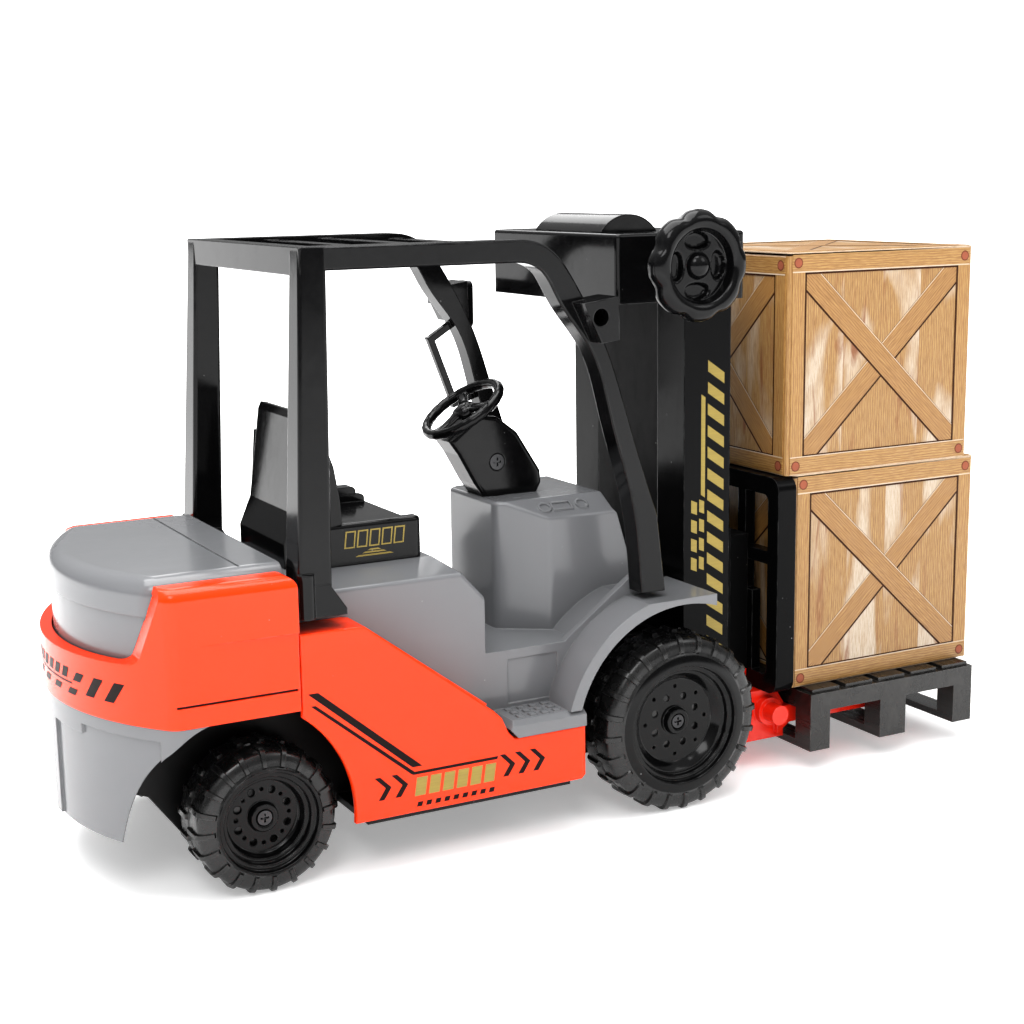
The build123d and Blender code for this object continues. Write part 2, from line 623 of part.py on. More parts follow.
def overhead_guard():
    """Black cab frame: four pillars, side beams, cross bars, sockets and a handle."""
    frame = fuse(*both(fuse(rear_pillar(), front_pillar(), socket_block())))
    inner = ROOF_HALF - BEAM_W + 0.5
    rear_bar = box(ROOF_X0, ROOF_X0 + 6.5, -inner, inner, ROOF_Z - 9.0, ROOF_Z)
    front_bar = box(95, 101, -inner, inner, ROOF_Z - BEAM_H + 0.4, ROOF_Z - 2.0)
    bars = [rear_bar, front_bar]
    for x in SLATS_X:
        bars.append(box(x, x + SLAT_W, -inner, inner, ROOF_Z - 1.0 - SLAT_T, ROOF_Z - 1.0))
    frame = fuse(frame, *bars, grab_handle())
    return cut(frame, *both(rod_y(SOCKET_X, SOCKET_Z, SOCKET_R, 54.0, 65)))


def side_mirror():
    """Left mirror: a round peg in the guard's socket, an arm and a plate facing back."""
    peg = rod_y(SOCKET_X, SOCKET_Z, SOCKET_R - RUNNING, 54.3, 66.5)
    arm = box(SOCKET_X - 2.4, 136.5, 64.4, 67.4, SOCKET_Z - 2.4, SOCKET_Z + 2.4)
    plate = box(134.5, 137.5, 61.0, 73.0, 170.0, 188.5)
    plate = fillet(plate.edges().filter_by(Axis.X), 2.5)
    return fuse(peg, arm, plate)


# ------------------------------------------------------------------ mast and winch
def mast_rail():
    """Right mast rail: a channel open towards the middle of the mast."""
    outer = box(RAIL_X0, RAIL_X1, -RAIL_OUT, -RAIL_IN, RAIL_Z0, RAIL_Z1)
    x0, x1 = RAIL_X0 + RAIL_T, RAIL_X1 - RAIL_T
    return outer - box(x0, x1, -RAIL_OUT + RAIL_T, -RAIL_IN + 1, RAIL_Z0 + 3, RAIL_Z1 + 1)


def mast_back():
    """Plate that closes the back of the mast between the rails."""
    return box(RAIL_X0, RAIL_X0 + RAIL_T, -RAIL_IN, RAIL_IN, RAIL_Z0, RAIL_Z1)


def mast_foot():
    """Cross member that ties the two rails together at the bottom."""
    return box(RAIL_X0 + RAIL_T, RAIL_X1 - 6, -RAIL_IN, RAIL_IN, RAIL_Z0, RAIL_Z0 + 3)


def winch_housing():
    """Box over the top of the mast that holds the winch, open below."""
    shell = box(HOUSING_X0, HOUSING_X1, -HOUSING_HALF, HOUSING_HALF, HOUSING_Z0, HOUSING_Z1)
    shell = fillet(shell.edges().filter_by(Axis.Z), 1.6)
    shell = fillet(shell.edges().group_by(Axis.Z)[-1], 1.2)
    inner = HOUSING_HALF - 2
    hollow = box(HOUSING_X0 + 2, HOUSING_X1 - 2, -inner, inner, HOUSING_Z0 + 1.8, HOUSING_Z1 - 2)
    shell = shell - hollow
    mouth = box(RAIL_X0 + 4, HOUSING_X1 - 4, -18, 18, HOUSING_Z0 - 1, HOUSING_Z0 + 3)
    drum_slot = box(SHAFT_X - 11.4, SHAFT_X + 11.4, -22.4, 22.4, HOUSING_Z1 - 3, HOUSING_Z1 + 1)
    shaft_hole = rod_y(SHAFT_X, SHAFT_Z, SHAFT_R + RUNNING, -60, HOUSING_HALF - 0.8)
    pulley_hole = rod_y(PULLEY_X, PULLEY_Z, 1.5, -HOUSING_HALF + 0.8, HOUSING_HALF - 0.8)
    return cut(shell, mouth, drum_slot, shaft_hole, pulley_hole)


def drum_cover():
    """Half-round cap over the winch drum."""
    centre_z, radius, half = 201.0, 14.6, 24.2
    cap = rod_y(SHAFT_X, centre_z, radius, -half, half)
    hollow = rod_y(SHAFT_X, centre_z, radius - 1.6, -half + 1.6, half - 1.6)
    below = box(100, 200, -60, 60, 150, HOUSING_Z1 + 0.02)
    return cut(cap, hollow, below)


def winch_shaft():
    """Shaft of the winch, from the left wall of the housing out to the handwheel."""
    return rod_y(SHAFT_X, SHAFT_Z, SHAFT_R, HANDWHEEL_Y0 + 3, HOUSING_HALF - 0.9)


def winch_drum():
    """Spool on the winch shaft, with a flange at each end."""
    spool = rod_y(SHAFT_X, SHAFT_Z, DRUM_R, -14, 14)
    for y in (-16, 14):
        spool = spool + rod_y(SHAFT_X, SHAFT_Z, 8.6, y, y + 2)
    return spool - rod_y(SHAFT_X, SHAFT_Z, SHAFT_R, -20, 20)


def brake_washer():
    """Felt washer that drags on the right wall of the housing and holds the load up."""
    y0 = -HOUSING_HALF + 2.15
    return rod_y(SHAFT_X, SHAFT_Z, 6.0, y0, y0 + 2.0) - rod_y(SHAFT_X, SHAFT_Z, SHAFT_R, -60, 0)


def brake_collar():
    """Collar on the shaft that presses on the brake washer."""
    y0 = -HOUSING_HALF + 4.15
    return rod_y(SHAFT_X, SHAFT_Z, 5.4, y0, y0 + 4.0) - rod_y(SHAFT_X, SHAFT_Z, SHAFT_R, -60, 0)


def guide_pulley():
    """Grooved roller that turns the winch line down into the mast."""
    roller = rod_y(PULLEY_X, PULLEY_Z, PULLEY_R, -12, 12)
    for y in (-14, 12):
        roller = roller + rod_y(PULLEY_X, PULLEY_Z, 6.4, y, y + 2)
    return roller - rod_y(PULLEY_X, PULLEY_Z, 1.5 + RUNNING, -20, 20)


def pulley_pin():
    """Pin that the guide pulley turns on."""
    return rod_y(PULLEY_X, PULLEY_Z, 1.5, -HOUSING_HALF + 0.8, HOUSING_HALF - 0.8)


def handwheel():
    """Dished handwheel with scalloped grip, four pockets and a domed hub."""
    y0, y1 = HANDWHEEL_Y0, HANDWHEEL_Y1
    wheel = rod_y(SHAFT_X, SHAFT_Z, HANDWHEEL_R, y0, y1)
    wheel = fillet(wheel.edges(), 2.6)
    for i in range(8):
        angle = math.radians(45 * i + 22.5)
        x = SHAFT_X + (HANDWHEEL_R + 3.6) * math.cos(angle)
        z = SHAFT_Z + (HANDWHEEL_R + 3.6) * math.sin(angle)
        wheel = wheel - rod_y(x, z, 4.8, y0 - 1, y1 + 1)
    wheel = wheel - rod_y(SHAFT_X, SHAFT_Z, 12.6, y0 - 1, y0 + 4.2)
    for i in range(4):
        angle = math.radians(90 * i)
        x = SHAFT_X + 9.0 * math.cos(angle)
        z = SHAFT_Z + 9.0 * math.sin(angle)
        wheel = wheel - rod_y(x, z, 2.7, y0, y0 + 6.6)
    dome = Pos(SHAFT_X, y0 + 5.4, SHAFT_Z) * Sphere(4.6)
    dome = dome & box(SHAFT_X - 6, SHAFT_X + 6, y0 + 0.6, y0 + 6, SHAFT_Z - 6, SHAFT_Z + 6)
    sleeve = rod_y(SHAFT_X, SHAFT_Z, 5.6, y1 - 1, -HOUSING_HALF - 0.6)
    wheel = fuse(wheel, dome, sleeve)
    return wheel - rod_y(SHAFT_X, SHAFT_Z, SHAFT_R, y0 + 3, 0)


# ------------------------------------------------------------------ carriage, forks, load
def carriage():
    """Black carriage: four shoes that slide in the rails, joined to a front plate."""
    gap = 0.35
    parts = []
    for z0 in (36.0, 76.0):
        shoe = box(RAIL_X0 + RAIL_T + gap, RAIL_X1 - RAIL_T - gap,
                   -RAIL_OUT + RAIL_T + gap, -RAIL_IN + 2.0, z0, z0 + 12.0)
        parts += both(shoe)
    arm = box(RAIL_X0 + 6.0, CARRIAGE_X + 1, -RAIL_IN + gap, -RAIL_IN + 5.0, 36.0, 88.0)
    parts += both(arm)
    plate = box(CARRIAGE_X, CARRIAGE_X + 4.0, -31, 31, 30.0, 96.0)
    window = box(CARRIAGE_X - 5, CARRIAGE_X + 6, -13, 13, 56.0, 88.0)
    body = fuse(*parts, plate) - window
    stand = both(box(CARRIAGE_X + 3.9, BACKREST_X0 - 0.01, -27, -15, 38.0, 92.0))
    return fuse(body, *stand)


def load_backrest():
    """Black frame that the load leans on, with a cross bar, two uprights and a lower plate."""
    frame = box(BACKREST_X0, BACKREST_X1, -BACKREST_HALF, BACKREST_HALF, BACKREST_Z0, BACKREST_Z1)
    frame = fillet(frame.edges().filter_by(Axis.X), 5.0)
    inner = box(BACKREST_X0 - 1, BACKREST_X1 + 1, -39.5, 39.5, BACKREST_Z0 + 7, BACKREST_Z1 - 7)
    inner = fillet(inner.edges().filter_by(Axis.X), 2.5)
    frame = frame - inner
    bar = box(BACKREST_X0, BACKREST_X0 + 5.0, -40, 40, 82.0, 87.0)
    plate = box(BACKREST_X0, BACKREST_X0 + 4.0, -30, 30, BACKREST_Z0 + 2, 70.0)
    uprights = [box(BACKREST_X0, BACKREST_X0 + 4.5, y, y + 5, 68.0, BACKREST_Z1 - 5) for y in (-25.0, 20.0)]
    return fuse(frame, bar, plate, *uprights)


def fork_frame():
    """Red forks: a heel beam under the backrest, two tines and a round peg at each end."""
    heel = box(203.0, 222.4, -36, 36, 10.5, 30.8)
    relief = plate_y([(218.0, 31), (223, 31), (223, 23.4)], -40, 40)
    heel = cut(heel, relief, box(206, 219, -26, 26, 9, 24))
    tine_line = [
        (218, TINE_Z0 - 4), (224, TINE_Z0), (TINE_X1 - 22, TINE_Z0), (TINE_X1 - 3.5, TINE_Z0 + 2.2),
        (TINE_X1, TINE_Z0 + 4.6), (TINE_X1 - 1.0, TINE_Z1), (218, TINE_Z1),
    ]
    tine = plate_y(tine_line, -TINE_Y1, -TINE_Y0)
    collar = rod_y(PEG_X, PEG_Z, 5.6, -39.0, -30)
    peg = rod_y(PEG_X, PEG_Z, 3.9, -45.5, -30)
    hooks = [box(203.0, 210.8, y, y + 12, 30.0, 37.5) for y in (-27, 15)]
    body = heel
    for part in (tine, collar, peg):
        for twin in both(part):
            body = body + twin
    return fuse(body, *hooks)


def pallet():
    """Dark grey pallet: five deck slats on a frame of bearers, nine blocks and three skids."""
    x0, x1 = PALLET_X0, PALLET_X0 + PALLET_L
    top = PALLET_Z0 + PALLET_H
    slat_z = top - 1.5
    bearer_z = TINE_Z1 + 0.3
    middle = (x0 + x1) / 2
    blocks_x = [(x0, x0 + 9.5), (middle - 6.5, middle + 6.5), (x1 - 9.5, x1)]
    blocks_y = [(-PALLET_HALF, -PALLET_HALF + 9.5), (-7.5, 7.5), (PALLET_HALF - 9.5, PALLET_HALF)]
    parts = [box(x0, x1, -PALLET_HALF, PALLET_HALF, slat_z - 2.0, slat_z)]
    for y0, y1 in blocks_y:
        parts.append(box(x0, x1, y0, y1, bearer_z, slat_z))
    for a, b in blocks_x:
        parts.append(box(a, b, -PALLET_HALF, PALLET_HALF, bearer_z, slat_z))
        parts.append(box(a, b, -PALLET_HALF, PALLET_HALF, PALLET_Z0, PALLET_Z0 + 2.8))
        for y0, y1 in blocks_y:
            parts.append(box(a, b, y0, y1, PALLET_Z0, slat_z))
    pitch = PALLET_L / 5
    for i in range(5):
        slat_x0, slat_x1 = x0 + i * pitch + 1.6, x0 + (i + 1) * pitch - 1.6
        parts.append(box(slat_x0, slat_x1, -PALLET_HALF + 1.4, PALLET_HALF - 1.4, slat_z, top))
    return fuse(*parts)


def crate(x0, z0):
    """Closed card box, hollow, with softened upright edges."""
    outer = box(x0, x0 + CRATE_L, -CRATE_W / 2, CRATE_W / 2, z0, z0 + CRATE_H)
    outer = fillet(outer.edges().filter_by(Axis.Z), 1.2)
    t = CRATE_T
    return outer - box(x0 + t, x0 + CRATE_L - t, -CRATE_W / 2 + t, CRATE_W / 2 - t, z0 + t, z0 + CRATE_H - t)


# ------------------------------------------------------------------ build
def main():
    """Write every piece."""
    os.makedirs("parts", exist_ok=True)
    wheels()
    axles()
    save("chassis", chassis())
    save("chassis_screws", chassis_screws())
    save("tail_shell", tail_shell())
    save("counterweight", counterweight())
    right_panel = side_panel()
    save("side_panel_right", right_panel)
    save("side_panel_left", mirror(right_panel, about=Plane.XZ))
    save("hood_lid", hood_lid())
    save("engine_box", engine_box())
    save("cab_body", cab_body())
    save("seat", seat())
    save("steering_column", steering_column())
    save("column_screw", column_screw())
    save("steering_wheel", steering_wheel())
    save("overhead_guard", overhead_guard())
    save("side_mirror", side_mirror())
    rail = mast_rail()
    save("mast_rail_right", rail)
    save("mast_rail_left", mirror(rail, about=Plane.XZ))
    save("mast_back", mast_back())
    save("mast_foot", mast_foot())
    save("winch_housing", winch_housing())
    save("drum_cover", drum_cover())
    save("winch_shaft", winch_shaft())
    save("winch_drum", winch_drum())
    save("brake_washer", brake_washer())
    save("brake_collar", brake_collar())
    save("guide_pulley", guide_pulley())
    save("pulley_pin", pulley_pin())
    save("handwheel", handwheel())
    save("carriage", carriage())
    save("load_backrest", load_backrest())
    save("fork_frame", fork_frame())
    save("pallet", pallet())
    crate_z = PALLET_Z0 + PALLET_H
    save("crate_lower", crate(CRATE_X0, crate_z))
    save("crate_upper", crate(CRATE_X0 + UPPER_SHIFT, crate_z + CRATE_H))


main()
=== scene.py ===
"""Looks of the toy forklift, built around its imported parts.

The frame is in metres, +X forward, +Y to the truck's left, +Z up. Lengths below are in
millimetres and turned into metres by `at`, which measures x forward from the rear axle.
"""
import json
import math

import bmesh
import bpy
from mathutils import Matrix, Vector


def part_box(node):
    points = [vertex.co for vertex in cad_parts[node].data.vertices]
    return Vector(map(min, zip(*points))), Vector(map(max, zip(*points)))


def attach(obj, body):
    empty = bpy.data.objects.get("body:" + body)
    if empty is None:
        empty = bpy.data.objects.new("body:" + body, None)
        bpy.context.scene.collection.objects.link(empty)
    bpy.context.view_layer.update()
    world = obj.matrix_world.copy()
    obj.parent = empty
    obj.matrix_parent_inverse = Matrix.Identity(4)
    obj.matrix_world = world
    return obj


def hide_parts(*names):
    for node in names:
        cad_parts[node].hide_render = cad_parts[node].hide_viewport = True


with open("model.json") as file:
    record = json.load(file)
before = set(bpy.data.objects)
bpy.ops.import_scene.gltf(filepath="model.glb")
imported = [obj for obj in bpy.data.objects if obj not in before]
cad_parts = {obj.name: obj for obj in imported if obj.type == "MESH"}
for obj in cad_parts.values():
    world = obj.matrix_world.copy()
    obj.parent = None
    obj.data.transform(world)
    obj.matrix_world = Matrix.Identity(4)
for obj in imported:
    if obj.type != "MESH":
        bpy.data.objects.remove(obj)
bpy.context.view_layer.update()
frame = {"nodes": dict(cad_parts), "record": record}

MM = 0.001


# ------------------------------------------------------------------ places, from the frame
def corners(node):
    """Lowest and highest corners of a node, as vectors in metres."""
    low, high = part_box(node)
    return Vector(low), Vector(high)


def middle(node):
    """Centre of a node's box."""
    low, high = corners(node)
    return (low + high) / 2


REAR_AXLE = middle("rear_axle")


def at(x, y, z):
    """A point given in millimetres: x from the rear axle, y from the middle, z from the ground."""
    return Vector((REAR_AXLE.x + x * MM, y * MM, z * MM))


def in_mm(point):
    """The inverse of `at`."""
    return Vector(((point.x - REAR_AXLE.x) / MM, point.y / MM, point.z / MM))


def extent(node):
    """Lowest and highest corners of a node, in the millimetres of `at`."""
    low, high = corners(node)
    return in_mm(low), in_mm(high)


# ------------------------------------------------------------------ camera and studio
CAMERA_AT = at(-178.04, -563.12, 229.33)
CAMERA_TURN, CAMERA_TILT, CAMERA_ROLL = math.radians(-28.0), math.radians(11.0), math.radians(-0.877)
CAMERA_LENS, CAMERA_SENSOR = 60.54, 36

WHITE = (1, 1, 1, 1)
# strength of the room's light by the height of the direction that it comes from
ROOM_RISE = {"From Min": -0.05, "From Max": 0.75, "To Min": 0.10, "To Max": 0.85}
BACKDROP = 1.2              # strength of the white seen past the floor
FLOOR_HALF = 40
GLOW_NEAR, GLOW_FAR = 0.25, 0.8             # metres from the toy over which the floor grows brighter
GLOW_LOW, GLOW_HIGH = 0.3, 1.4
# name, place, size in metres, power in watts
LAMPS = (
    ("overhead", (-0.1, 0.05, 1.0), 0.9, 12.5),
    ("key", (-0.55, -0.75, 1.0), 0.45, 3.9),
    ("fill", (0.75, -0.85, 0.95), 0.5, 1.9),
    ("tail", (-1.1, 0.1, 0.5), 0.5, 0.2),
    ("rim", (0.4, 1.0, 0.8), 0.6, 2.2),
)
LAMP_AIM = (0, 0, 0.1)


def add_camera():
    """The camera: behind the truck on its right, a little above it and slightly rolled."""
    back = Vector((
        math.sin(CAMERA_TURN) * math.cos(CAMERA_TILT),
        -math.cos(CAMERA_TURN) * math.cos(CAMERA_TILT),
        math.sin(CAMERA_TILT),
    ))
    level = Vector((math.cos(CAMERA_TURN), math.sin(CAMERA_TURN), 0))
    upright = back.cross(level)
    right = math.cos(CAMERA_ROLL) * level + math.sin(CAMERA_ROLL) * upright
    up = math.cos(CAMERA_ROLL) * upright - math.sin(CAMERA_ROLL) * level
    data = bpy.data.cameras.new("camera")
    data.lens = CAMERA_LENS
    data.sensor_width = CAMERA_SENSOR
    data.clip_start = 0.01
    data.dof.use_dof = False
    camera = bpy.data.objects.new("camera", data)
    bpy.context.scene.collection.objects.link(camera)
    camera.matrix_world = Matrix((
        (right.x, up.x, back.x, CAMERA_AT.x),
        (right.y, up.y, back.y, CAMERA_AT.y),
        (right.z, up.z, back.z, CAMERA_AT.z),
        (0, 0, 0, 1),
    ))
    bpy.context.scene.camera = camera


def add_studio():
    """A room bright above and dim around, a pale floor and soft lamps, the largest one overhead."""
    view = bpy.context.scene.view_settings
    view.view_transform = "Standard"
    view.look = "Medium High Contrast"
    world = bpy.data.worlds.new("studio")
    world.use_nodes = True
    tree = world.node_tree
    places = tree.nodes.new("ShaderNodeTexCoord")
    split = tree.nodes.new("ShaderNodeSeparateXYZ")
    tree.links.new(places.outputs["Generated"], split.inputs[0])
    rise = tree.nodes.new("ShaderNodeMapRange")
    tree.links.new(split.outputs["Z"], rise.inputs["Value"])
    for key, value in ROOM_RISE.items():
        rise.inputs[key].default_value = value
    room = tree.nodes["Background"]
    room.inputs["Color"].default_value = WHITE
    tree.links.new(rise.outputs[0], room.inputs["Strength"])
    seen = tree.nodes.new("ShaderNodeBackground")
    seen.inputs["Color"].default_value = WHITE
    seen.inputs["Strength"].default_value = BACKDROP
    path = tree.nodes.new("ShaderNodeLightPath")
    mix = tree.nodes.new("ShaderNodeMixShader")
    tree.links.new(path.outputs["Is Camera Ray"], mix.inputs[0])
    tree.links.new(room.outputs[0], mix.inputs[1])
    tree.links.new(seen.outputs[0], mix.inputs[2])
    tree.links.new(mix.outputs[0], tree.nodes["World Output"].inputs["Surface"])
    bpy.context.scene.world = world

    mesh = bpy.data.meshes.new("floor")
    plan = [(x * FLOOR_HALF, y * FLOOR_HALF, 0) for x, y in ((-1, -1), (1, -1), (1, 1), (-1, 1))]
    mesh.from_pydata(plan, [], [(0, 1, 2, 3)])
    floor = bpy.data.objects.new("floor", mesh)
    bpy.context.scene.collection.objects.link(floor)
    paper = Shader("floor")
    cloud = paper.noise(3.0, detail=2.0)
    tone = paper.ramp(cloud, [(0.3, (0.93, 0.93, 0.93)), (0.7, (0.95, 0.95, 0.95))])
    away = paper.node("ShaderNodeVectorMath", {0: paper.where()}, operation="LENGTH").outputs["Value"]
    paper.principled({
        "Base Color": tone, "Roughness": 0.75, "Specular IOR Level": 0.2, "Emission Color": WHITE,
        "Emission Strength": paper.remap(away, GLOW_NEAR, GLOW_FAR, GLOW_LOW, GLOW_HIGH),
    })
    mesh.materials.append(paper.material)
    for lamp in LAMPS:
        add_lamp(*lamp)


def add_lamp(name, place, size, power):
    """A square soft lamp aimed at the middle of the toy."""
    data = bpy.data.lights.new(name, "AREA")
    data.shape = "SQUARE"
    data.size = size
    data.energy = power
    lamp = bpy.data.objects.new(name, data)
    lamp.location = place
    aim = Vector(LAMP_AIM) - Vector(place)
    lamp.rotation_euler = aim.to_track_quat("-Z", "Y").to_euler()
    bpy.context.scene.collection.objects.link(lamp)


# ------------------------------------------------------------------ shaders
class Shader:
    """A node material under construction. Every method returns the socket that it made."""

    def __init__(self, name):
        self.material = bpy.data.materials.new(name)
        self.material.use_nodes = True
        self.tree = self.material.node_tree
        self.bsdf = self.tree.nodes["Principled BSDF"]
        self.places = None

    def node(self, kind, values=None, **settings):
        """A node, with settings on itself and values or links on its inputs."""
        made = self.tree.nodes.new(kind)
        for key, value in settings.items():
            setattr(made, key, value)
        for key, value in (values or {}).items():
            if isinstance(value, bpy.types.NodeSocket):
                self.tree.links.new(value, made.inputs[key])
            else:
                made.inputs[key].default_value = value
        return made

    def where(self, stretch=(1, 1, 1), uv=False):
        """Texture coordinates in metres (or the UV map), stretched along each axis."""
        if self.places is None:
            self.places = self.node("ShaderNodeTexCoord")
        source = self.places.outputs["UV" if uv else "Object"]
        if tuple(stretch) == (1, 1, 1):
            return source
        return self.node("ShaderNodeMapping", {"Vector": source, "Scale": stretch}).outputs[0]

    def noise(self, scale, detail=3.0, rough=0.5, stretch=(1, 1, 1), uv=False, distortion=0.0):
        """Fractal noise, 0 to 1."""
        values = {
            "Vector": self.where(stretch, uv), "Scale": scale, "Detail": detail,
            "Roughness": rough, "Distortion": distortion,
        }
        return self.node("ShaderNodeTexNoise", values).outputs[0]

    def ramp(self, factor, stops):
        """Colours along a factor: stops are (position, (r, g, b))."""
        made = self.node("ShaderNodeValToRGB", {"Fac": factor})
        elements = made.color_ramp.elements
        while len(elements) < len(stops):
            elements.new(0.5)
        for element, (position, color) in zip(elements, stops):
            element.position = position
            element.color = (*color, 1)
        return made.outputs[0]

    def remap(self, value, low, high, to_low, to_high):
        """A value moved from one range to another, clamped."""
        values = {"Value": value, "From Min": low, "From Max": high, "To Min": to_low, "To Max": to_high}
        return self.node("ShaderNodeMapRange", values).outputs[0]

    def math(self, operation, first, second=0.0):
        """One arithmetic step."""
        return self.node("ShaderNodeMath", {0: first, 1: second}, operation=operation).outputs[0]

    def mix(self, factor, first, second):
        """Two colours mixed."""
        made = self.node("ShaderNodeMix", {"Factor": factor}, data_type="RGBA")
        for socket, value in ((made.inputs[6], first), (made.inputs[7], second)):
            if isinstance(value, bpy.types.NodeSocket):
                self.tree.links.new(value, socket)
            else:
                socket.default_value = (*value, 1)
        return made.outputs[2]

    def bump(self, height, strength, distance, normal=None):
        """A normal disturbed by a height."""
        values = {"Height": height, "Strength": strength, "Distance": distance}
        if normal is not None:
            values["Normal"] = normal
        return self.node("ShaderNodeBump", values).outputs[0]

    def worn_edges(self, radius, amount):
        """1 on sharp outer edges where handling has polished them, broken up by noise, else 0."""
        soft = self.node("ShaderNodeBevel", {"Radius": radius}, samples=4).outputs[0]
        flat = self.node("ShaderNodeNewGeometry").outputs["Normal"]
        dot = self.node("ShaderNodeVectorMath", {0: soft, 1: flat}, operation="DOT_PRODUCT").outputs["Value"]
        edge = self.remap(dot, 0.99, 0.8, 0.0, 1.0)
        broken = self.remap(self.noise(170.0, 4.0), 0.42, 0.62, 0.0, amount)
        return self.math("MULTIPLY", edge, broken)

    def principled(self, values):
        """Sets the inputs of the surface shader."""
        for key, value in values.items():
            if isinstance(value, bpy.types.NodeSocket):
                self.tree.links.new(value, self.bsdf.inputs[key])
            elif key == "Base Color":
                self.bsdf.inputs[key].default_value = (*value[:3], 1)
            else:
                self.bsdf.inputs[key].default_value = value


def shade(color, factor):
    """A colour made lighter or darker."""
    return tuple(min(1.0, channel * factor) for channel in color)


def moulded(name, color, rough, grain=0.05, scratch=0.08, wear=0.35, specks=0.5, shine=0.5):
    """Injection-moulded plastic: faint flow mottling, fine orange peel, scuffs, dust and polished edges."""
    s = Shader(name)
    flow = s.ramp(
        s.noise(14.0, 4.0, 0.55, (1, 1, 1.8), distortion=0.6),
        [(0.3, shade(color, 0.97)), (0.52, color), (0.75, shade(color, 1.03))],
    )
    dots = s.node("ShaderNodeTexVoronoi", {"Vector": s.where(), "Scale": 230.0}).outputs["Distance"]
    rare = s.remap(s.noise(60.0, 1.0), 0.62, 0.68, 0.0, specks)
    dust = s.math("MULTIPLY", s.remap(dots, 0.03, 0.08, 1.0, 0.0), rare)
    edge = s.worn_edges(0.0007, wear)
    surface = s.mix(dust, flow, (0.75, 0.75, 0.75))
    surface = s.mix(edge, surface, tuple(0.35 + 0.65 * c for c in color))
    scuffs = s.remap(s.noise(42.0, 8.0, 0.7, (1, 5, 1.5)), 0.5, 0.8, 0.0, scratch)
    fine = s.noise(320.0, 2.0)
    gloss = s.math("ADD", s.remap(fine, 0.3, 0.7, rough - 0.02, rough + 0.02), scuffs)
    rounded = s.node("ShaderNodeBevel", {"Radius": 0.0006}, samples=6).outputs[0]
    peel = s.bump(s.noise(95.0, 2.0, 0.4), grain, 0.0006, rounded)
    normal = s.bump(s.noise(1500.0, 2.0), grain * 0.5, 0.00006, peel)
    s.principled({
        "Base Color": surface, "Roughness": gloss, "Normal": normal, "IOR": 1.47, "Specular IOR Level": shine,
    })
    return s.material


def tyre_plastic():
    """Satin black plastic of the tyres, with fine stipple and a little dust in it."""
    s = Shader("tyre_plastic")
    tone = s.ramp(s.noise(55.0, 5.0, 0.6), [(0.35, (0.005, 0.005, 0.005)), (0.7, (0.011, 0.011, 0.011))])
    dust = s.remap(s.noise(30.0, 7.0, 0.7), 0.55, 0.8, 0.0, 0.1)
    edge = s.worn_edges(0.0006, 0.25)
    color = s.mix(s.math("MAXIMUM", dust, edge), tone, (0.17, 0.165, 0.16))
    rough = s.remap(s.noise(240.0, 3.0), 0.3, 0.7, 0.2, 0.34)
    stipple = s.bump(s.noise(1100.0, 3.0, 0.6), 0.25, 0.0001)
    s.principled({"Base Color": color, "Roughness": rough, "Normal": stipple})
    return s.material


def metal(name, color, rough, stretch):
    """Bare metal with drawn or turned marks."""
    s = Shader(name)
    marks = s.noise(520.0, 4.0, 0.6, stretch)
    tone = s.ramp(marks, [(0.3, shade(color, 0.72)), (0.7, shade(color, 1.1))])
    s.principled({
        "Base Color": tone, "Metallic": 1.0, "Roughness": s.remap(marks, 0.3, 0.7, rough * 0.8, rough * 1.3),
        "Normal": s.bump(marks, 0.15, 0.0001),
    })
    return s.material


def felt():
    """Grey felt: matted fibres."""
    s = Shader("felt")
    fibres = s.noise(900.0, 6.0, 0.75, distortion=1.5)
    tone = s.ramp(fibres, [(0.3, (0.22, 0.21, 0.19)), (0.7, (0.45, 0.43, 0.39))])
    matted = s.bump(fibres, 0.8, 0.0004)
    s.principled({"Base Color": tone, "Roughness": 0.95, "Sheen Weight": 0.4, "Normal": matted})
    return s.material


def printed_wood(name, dark, tan, light, wash=0.0, stain=0.0):
    """Card printed as a board. The UV map runs along the grain in U and across it in V, in centimetres."""
    s = Shader(name)
    fibres = s.noise(5.5, 8.0, 0.68, (0.35, 6.5, 1), uv=True, distortion=0.35)
    bands = s.node(
        "ShaderNodeTexWave",
        {"Vector": s.where((0.2, 1.5, 1), uv=True), "Scale": 2.2, "Distortion": 7.0, "Detail": 3.0,
         "Detail Scale": 0.9, "Detail Roughness": 0.6},
        bands_direction="Y",
    ).outputs[1]
    tone = s.ramp(fibres, [(0.28, dark), (0.5, tan), (0.74, light)])
    tone = s.mix(s.remap(bands, 0.5, 1.0, 0.0, 0.6), tone, dark)
    if wash:
        pale = s.noise(0.45, 3.0, 0.5, (0.35, 1.2, 1), uv=True, distortion=0.5)
        streaks = s.remap(fibres, 0.3, 0.58, 0.25, 1.0)
        share = s.math("MULTIPLY", s.remap(pale, 0.5, 0.62, 0.0, wash), streaks)
        tone = s.mix(share, tone, (0.56, 0.49, 0.40))
    if stain:
        knots = s.noise(0.7, 4.0, 0.6, (0.3, 1.9, 1), uv=True, distortion=1.0)
        tone = s.mix(s.remap(knots, 0.57, 0.72, 0.0, stain), tone, (0.20, 0.062, 0.014))
    ink = s.noise(240.0, 2.0)
    rough = s.remap(ink, 0.3, 0.7, 0.3, 0.42)
    normal = s.bump(s.noise(130.0, 3.0), 0.1, 0.0002)
    s.principled({"Base Color": tone, "Roughness": rough, "Normal": normal})
    return s.material


